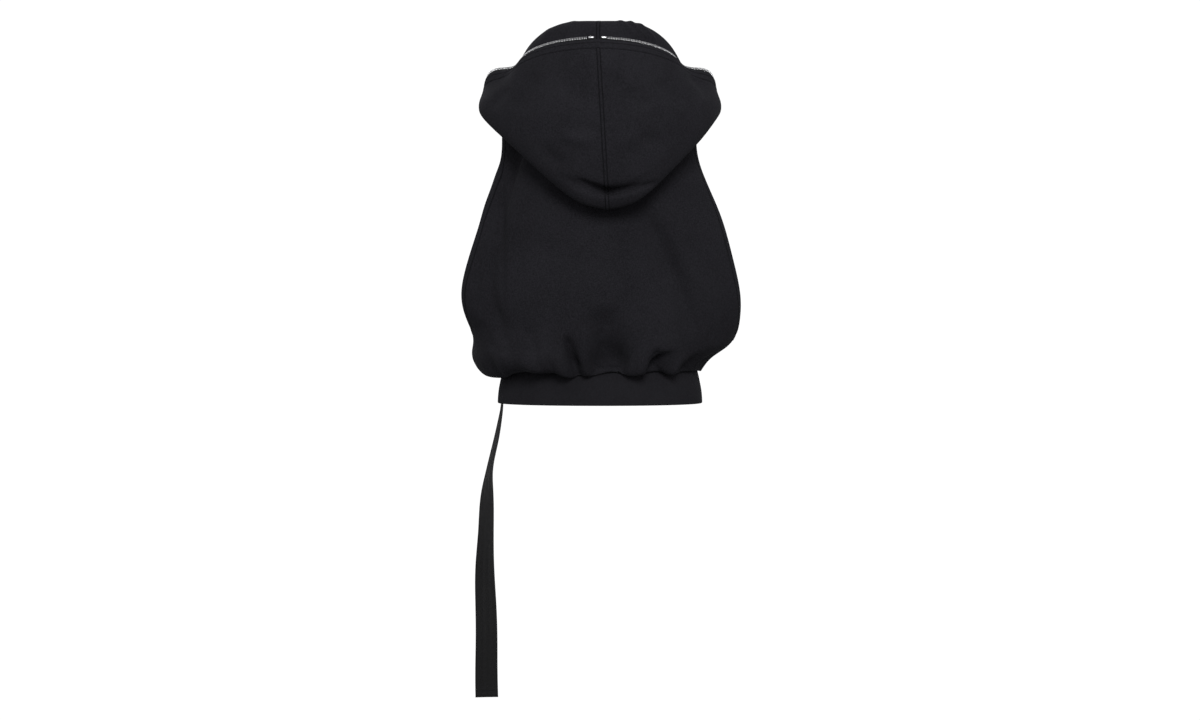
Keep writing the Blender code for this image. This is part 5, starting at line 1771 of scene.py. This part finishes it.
class HOODIE_OT_sewing(bpy.types.Operator):
    """Sews the rows of stitches that show on the fleece and the rib"""

    bl_idname = "hoodie.sewing"
    bl_label = "Stitching"

    def execute(self, context):
        arms, fronts, hoods, strips = [], [], [], []
        for side in ("left", "right"):
            arms.append(stitches(*arm_line(side), context.scene.hoodie_sizes))
            front, half, strip = front_cloth(side), hood_cloth(side, 0), hood_cloth(side, 1)
            fronts += [
                sewn_row(front, ZIP_ROW, 1, 8, -30),
                sewn_row(front, NECK_ROW, 0, 5, -5),
                sewn_row(hem_cloth(), ZIP_ROW, 1, 4, -6, from_end=side == "right"),
            ]
            hoods += [sewn_row(half, SEAM_ROW, 0, 4, -4, way=way) for way in (1, -1)]
            strips += [
                sewn_row(strip, BAND_ROW, 1, 0, -12),
                sewn_row(strip, ZIP_ROW, 1, 0, -12, from_end=True),
            ]
        fronts.append(sewn_row(back_cloth(), NECK_ROW, 0, 5, -5))
        for name, parts in (
            ("arm_stitching", arms), ("front_stitching", fronts),
            ("hood_stitching", hoods), ("strip_stitching", strips),
        ):
            place_piece(new_mesh(name, *join_parts(parts)), thread_material())
        return {"FINISHED"}


class HOODIE_OT_tapes(bpy.types.Operator):
    """Makes the zip's two woven tapes"""

    bl_idname = "hoodie.tapes"
    bl_label = "Zip tapes"

    def execute(self, context):
        for side in ("left", "right"):
            cloth = tape_cloth(side)
            tape = place_cloth(
                f"tape_{side}", cloth, woven_material("zip tape"), f"zip_tape_{side}"
            )
            length = float(tape_length(side))
        return {"FINISHED"}


class HOODIE_OT_teeth(bpy.types.Operator):
    """Sets the zip's teeth, its stops at the crown and its box at the hem"""

    bl_idname = "hoodie.teeth"
    bl_label = "Zip teeth"

    def execute(self, context):
        pitch = context.scene.hoodie_sizes.tooth_pitch
        tooth = loft(round_profile(8, 4.0), TOOTH_SECTIONS)
        stop = loft(round_profile(12, 4.0), STOP_SECTIONS)
        for side in ("left", "right"):
            path = zip_path(side)
            run, line = lengths(path[:, :3]), np.hstack(path_frame(path))
            first = BOX_LENGTH + SEAM_GAP + pitch * (0.5 if side == "left" else 1.0)
            teeth_at = np.arange(first, run[-1] - CROWN_STOP[1] - pitch / 2, pitch)
            stop_at = [run[-1] - sum(CROWN_STOP) / 2]
            for name, shape, at in (("teeth", tooth, teeth_at), ("stop", stop, stop_at)):
                place, across, up = np.split(read_line(run, line, at), 3, axis=1)
                across, up = unit(across), unit(up)
                place = place + across * TEETH_INNER
                part = instances(*shape, place, across, np.cross(up, across), up)
                place_metal(f"{name}_{side}", [part], f"zip_{name}_{side}")
        self.make_box()
        return {"FINISHED"}

    def make_box(self):
        """The retaining box and the pin's foot, over the two tapes at the hem."""
        bottom = float(zip_path("left")[0, 2])
        place, lean = zip_place(bottom + 0.006)
        half = TEETH_TO_CENTRE + TEETH_WIDTH
        start = bottom - place[2]
        box = oblong(half, start, start + BOX_LENGTH, 28, 5.0, 0.94)
        lip = oblong(half * 0.8, start + 0.0012, start + 0.0030, 20, 4.0)
        parts = [slab(box, BOX_THICK, 0.0005), slab(lip, BOX_THICK + 0.0006, 0.0003)]
        place_metal("foot_box", [moved(part, place, lean) for part in parts], "zip_box")


class HOODIE_OT_slider(bpy.types.Operator):
    """Makes the slider and its pull tab"""

    bl_idname = "hoodie.slider"
    bl_label = "Slider and pull"

    def execute(self, context):
        place, lean = zip_place(float(body(90.0, SLIDER_STATION)[2]))
        half, through_it = SLIDER_LENGTH / 2, SLIDER_GAP + SLIDER_PLATE
        outline = oblong(SLIDER_WIDTH / 2 * 0.9, -half, half, 32, 2.9, 1.12)
        plate = slab(outline, SLIDER_PLATE, 0.0004)
        # Flanges close the plates' sides, and a wedge stands between the two rows of teeth.
        flange = slab(oblong(0.00045, -half * 0.84, half * 0.12, 12, 4.0), through_it, 0.0001)
        wedge = slab(oblong(0.0009, half - 0.0040, half - 0.0004, 16, 2.2), through_it, 0.0001)
        bridge = arch(0.0022, SLIDER_GAP / 2 + SLIDER_PLATE - 0.0004, 0.0037, 0.0040, 0.0013)
        parts = [
            *(moved(plate, (0, way * through_it / 2, 0)) for way in (1, -1)),
            *(moved(flange, (way * SLIDER_WIDTH / 2 * 0.86, 0, 0)) for way in (1, -1)),
            wedge,
            bridge,
        ]
        place_metal("slider", [moved(part, place, lean) for part in parts], "zip_slider")
        # The pull hangs from its cross bar, on the joint's axis.
        arm = slab(oblong(0.00072, -0.0092, 0.0008, 16, 3.6), 0.0013, 0.0003)
        parts = [
            loft(round_profile(12), PULL_BAR_SECTIONS),
            *(moved(arm, (way * 0.0023, 0, 0)) for way in (1, -1)),
            slab(oblong(0.0035, -0.0260, -0.0067, 36, 3.0, 0.90), 0.0013, 0.0004),
            slab(oblong(0.0021, -0.0238, -0.0098, 28, 3.0, 0.90), 0.0019, 0.0004),
        ]
        lean = lean - math.radians(PULL_LEAN)
        parts = [moved(part, PULL_PIN_PLACE, lean) for part in parts]
        place_metal("pull_tab", parts, "zip_pull", "pull")
        return {"FINISHED"}


class HOODIE_OT_stage(bpy.types.Operator):
    """Sets the pale floor, the soft light and the camera at the photograph's angle"""

    bl_idname = "hoodie.stage"
    bl_label = "Stage"

    def execute(self, context):
        self.floor(context.scene, context.scene.hoodie_stage)
        self.light(context.scene, context.scene.hoodie_stage)
        self.camera(context.scene, context.scene.hoodie_stage)
        return {"FINISHED"}

    def floor(self, scene, stage):
        """A flat disc under the garment, lit from below like a light table, so that it looks as
        white as the backdrop."""
        turn = np.radians(np.arange(0, 360, 5.0))
        circle = np.column_stack([np.cos(turn), np.sin(turn), 0 * turn])
        rings = np.array([circle * FLOOR_RADIUS * share for share in FLOOR_RINGS])
        points, faces = tube_template(rings + (0, 0, SOLIDS_BOX[0][2] - FLOOR_DROP))
        mesh = new_mesh("floor", points, faces[: 1 - len(turn) // 2])  # no cap on the outer ring
        made, tree, shader = start_material("pale floor", Roughness=0.9, Specular_IOR_Level=0.0)
        grain = noise(tree, object_place(tree), 3.0)
        colour = shade_between(tree, (0.28, 0.28, 0.28), grain, 0.98, 1.02)
        tree.links.new(colour, shader.inputs["Base Color"])
        white = {"Color": (1.0, 1.0, 1.0, 1.0), "Strength": stage.backdrop_light}
        glow = add_node(tree, "ShaderNodeEmission", white)
        seen = add_node(tree, "ShaderNodeLightPath").outputs["Is Camera Ray"]
        pairs = {0: seen, 1: shader.outputs[0], 2: glow.outputs[0]}
        both = add_node(tree, "ShaderNodeMixShader", pairs)
        tree.links.new(both.outputs[0], tree.nodes["Material Output"].inputs["Surface"])
        mesh.materials.append(made)
        floor = bpy.data.objects.new("floor", mesh)
        scene.collection.objects.link(floor)

    def light(self, scene, stage):
        """An even white room, a large soft key light above the camera, a weak one to its left and
        one behind the garment."""
        world = bpy.data.worlds.new("white room")
        world.use_nodes = True
        tree = world.node_tree
        background = tree.nodes["Background"]
        background.inputs["Color"].default_value = (1.0, 1.0, 1.0, 1.0)
        seen = add_node(tree, "ShaderNodeLightPath").outputs["Is Camera Ray"]
        strength = ramp(tree, seen, 0.0, 1.0, stage.room_light, stage.backdrop_light)
        tree.links.new(strength, background.inputs["Strength"])
        scene.world = world
        scene.view_settings.view_transform = "Standard"
        for name, place, size, share in LAMPS:
            lamp = bpy.data.lights.new(name, "AREA")
            lamp.shape, lamp.size = "DISK", size
            lamp.energy = stage.key_power * share
            lamp_object = bpy.data.objects.new(name, lamp)
            scene.collection.objects.link(lamp_object)
            lamp_object.location = place
            aim = Vector(LAMP_TARGET) - Vector(place)
            lamp_object.rotation_euler = aim.to_track_quat("-Z", "Y").to_euler()

    def camera(self, scene, stage):
        camera = bpy.data.cameras.new("camera")
        camera.sensor_width = 36.0
        camera.lens = camera.sensor_width * stage.camera_distance / stage.frame_width
        camera.clip_end = 100.0
        camera_object = bpy.data.objects.new("camera", camera)
        scene.collection.objects.link(camera_object)
        camera_object.location = (0, -stage.camera_distance, stage.eye_height)
        pitch = math.atan2(stage.aim_height - stage.eye_height, stage.camera_distance)
        camera_object.rotation_euler = (math.pi / 2 + pitch, 0, 0)
        scene.camera = camera_object


class HOODIE_PT_panel(bpy.types.Panel):
    """Lists the hoodie's operators and settings"""

    bl_label = "Sleeveless hoodie"
    bl_idname = "HOODIE_PT_panel"
    bl_space_type = "VIEW_3D"
    bl_region_type = "UI"
    bl_category = "Hoodie"

    def draw(self, context):
        layout = self.layout
        for operator in OPERATORS:
            layout.operator(operator.bl_idname)
        for group, kind in SETTINGS.items():
            column = layout.column()
            for name in kind.__annotations__:
                column.prop(getattr(context.scene, group), name)


OPERATORS = (
    HOODIE_OT_body,
    HOODIE_OT_hood,
    HOODIE_OT_hem,
    HOODIE_OT_tapes,
    HOODIE_OT_teeth,
    HOODIE_OT_slider,
    HOODIE_OT_sewing,
    HOODIE_OT_strap,
    HOODIE_OT_stage,
)
SETTINGS = {"hoodie_sizes": HoodieSizes, "hoodie_looks": HoodieLooks, "hoodie_stage": HoodieStage}
CLASSES = (*SETTINGS.values(), *OPERATORS, HOODIE_PT_panel)


def register():
    for kind in CLASSES:
        bpy.utils.register_class(kind)
    for name, kind in SETTINGS.items():
        setattr(bpy.types.Scene, name, PointerProperty(type=kind))


def unregister():
    for name in SETTINGS:
        delattr(bpy.types.Scene, name)
    for kind in reversed(CLASSES):
        bpy.utils.unregister_class(kind)


def main():
    register()
    bpy.ops.hoodie.body()
    bpy.ops.hoodie.hood()
    bpy.ops.hoodie.hem()
    bpy.ops.hoodie.tapes()
    bpy.ops.hoodie.teeth()
    bpy.ops.hoodie.slider()
    bpy.ops.hoodie.sewing()
    bpy.ops.hoodie.strap()
    bpy.ops.hoodie.stage()


if __name__ == "__main__":
    main()
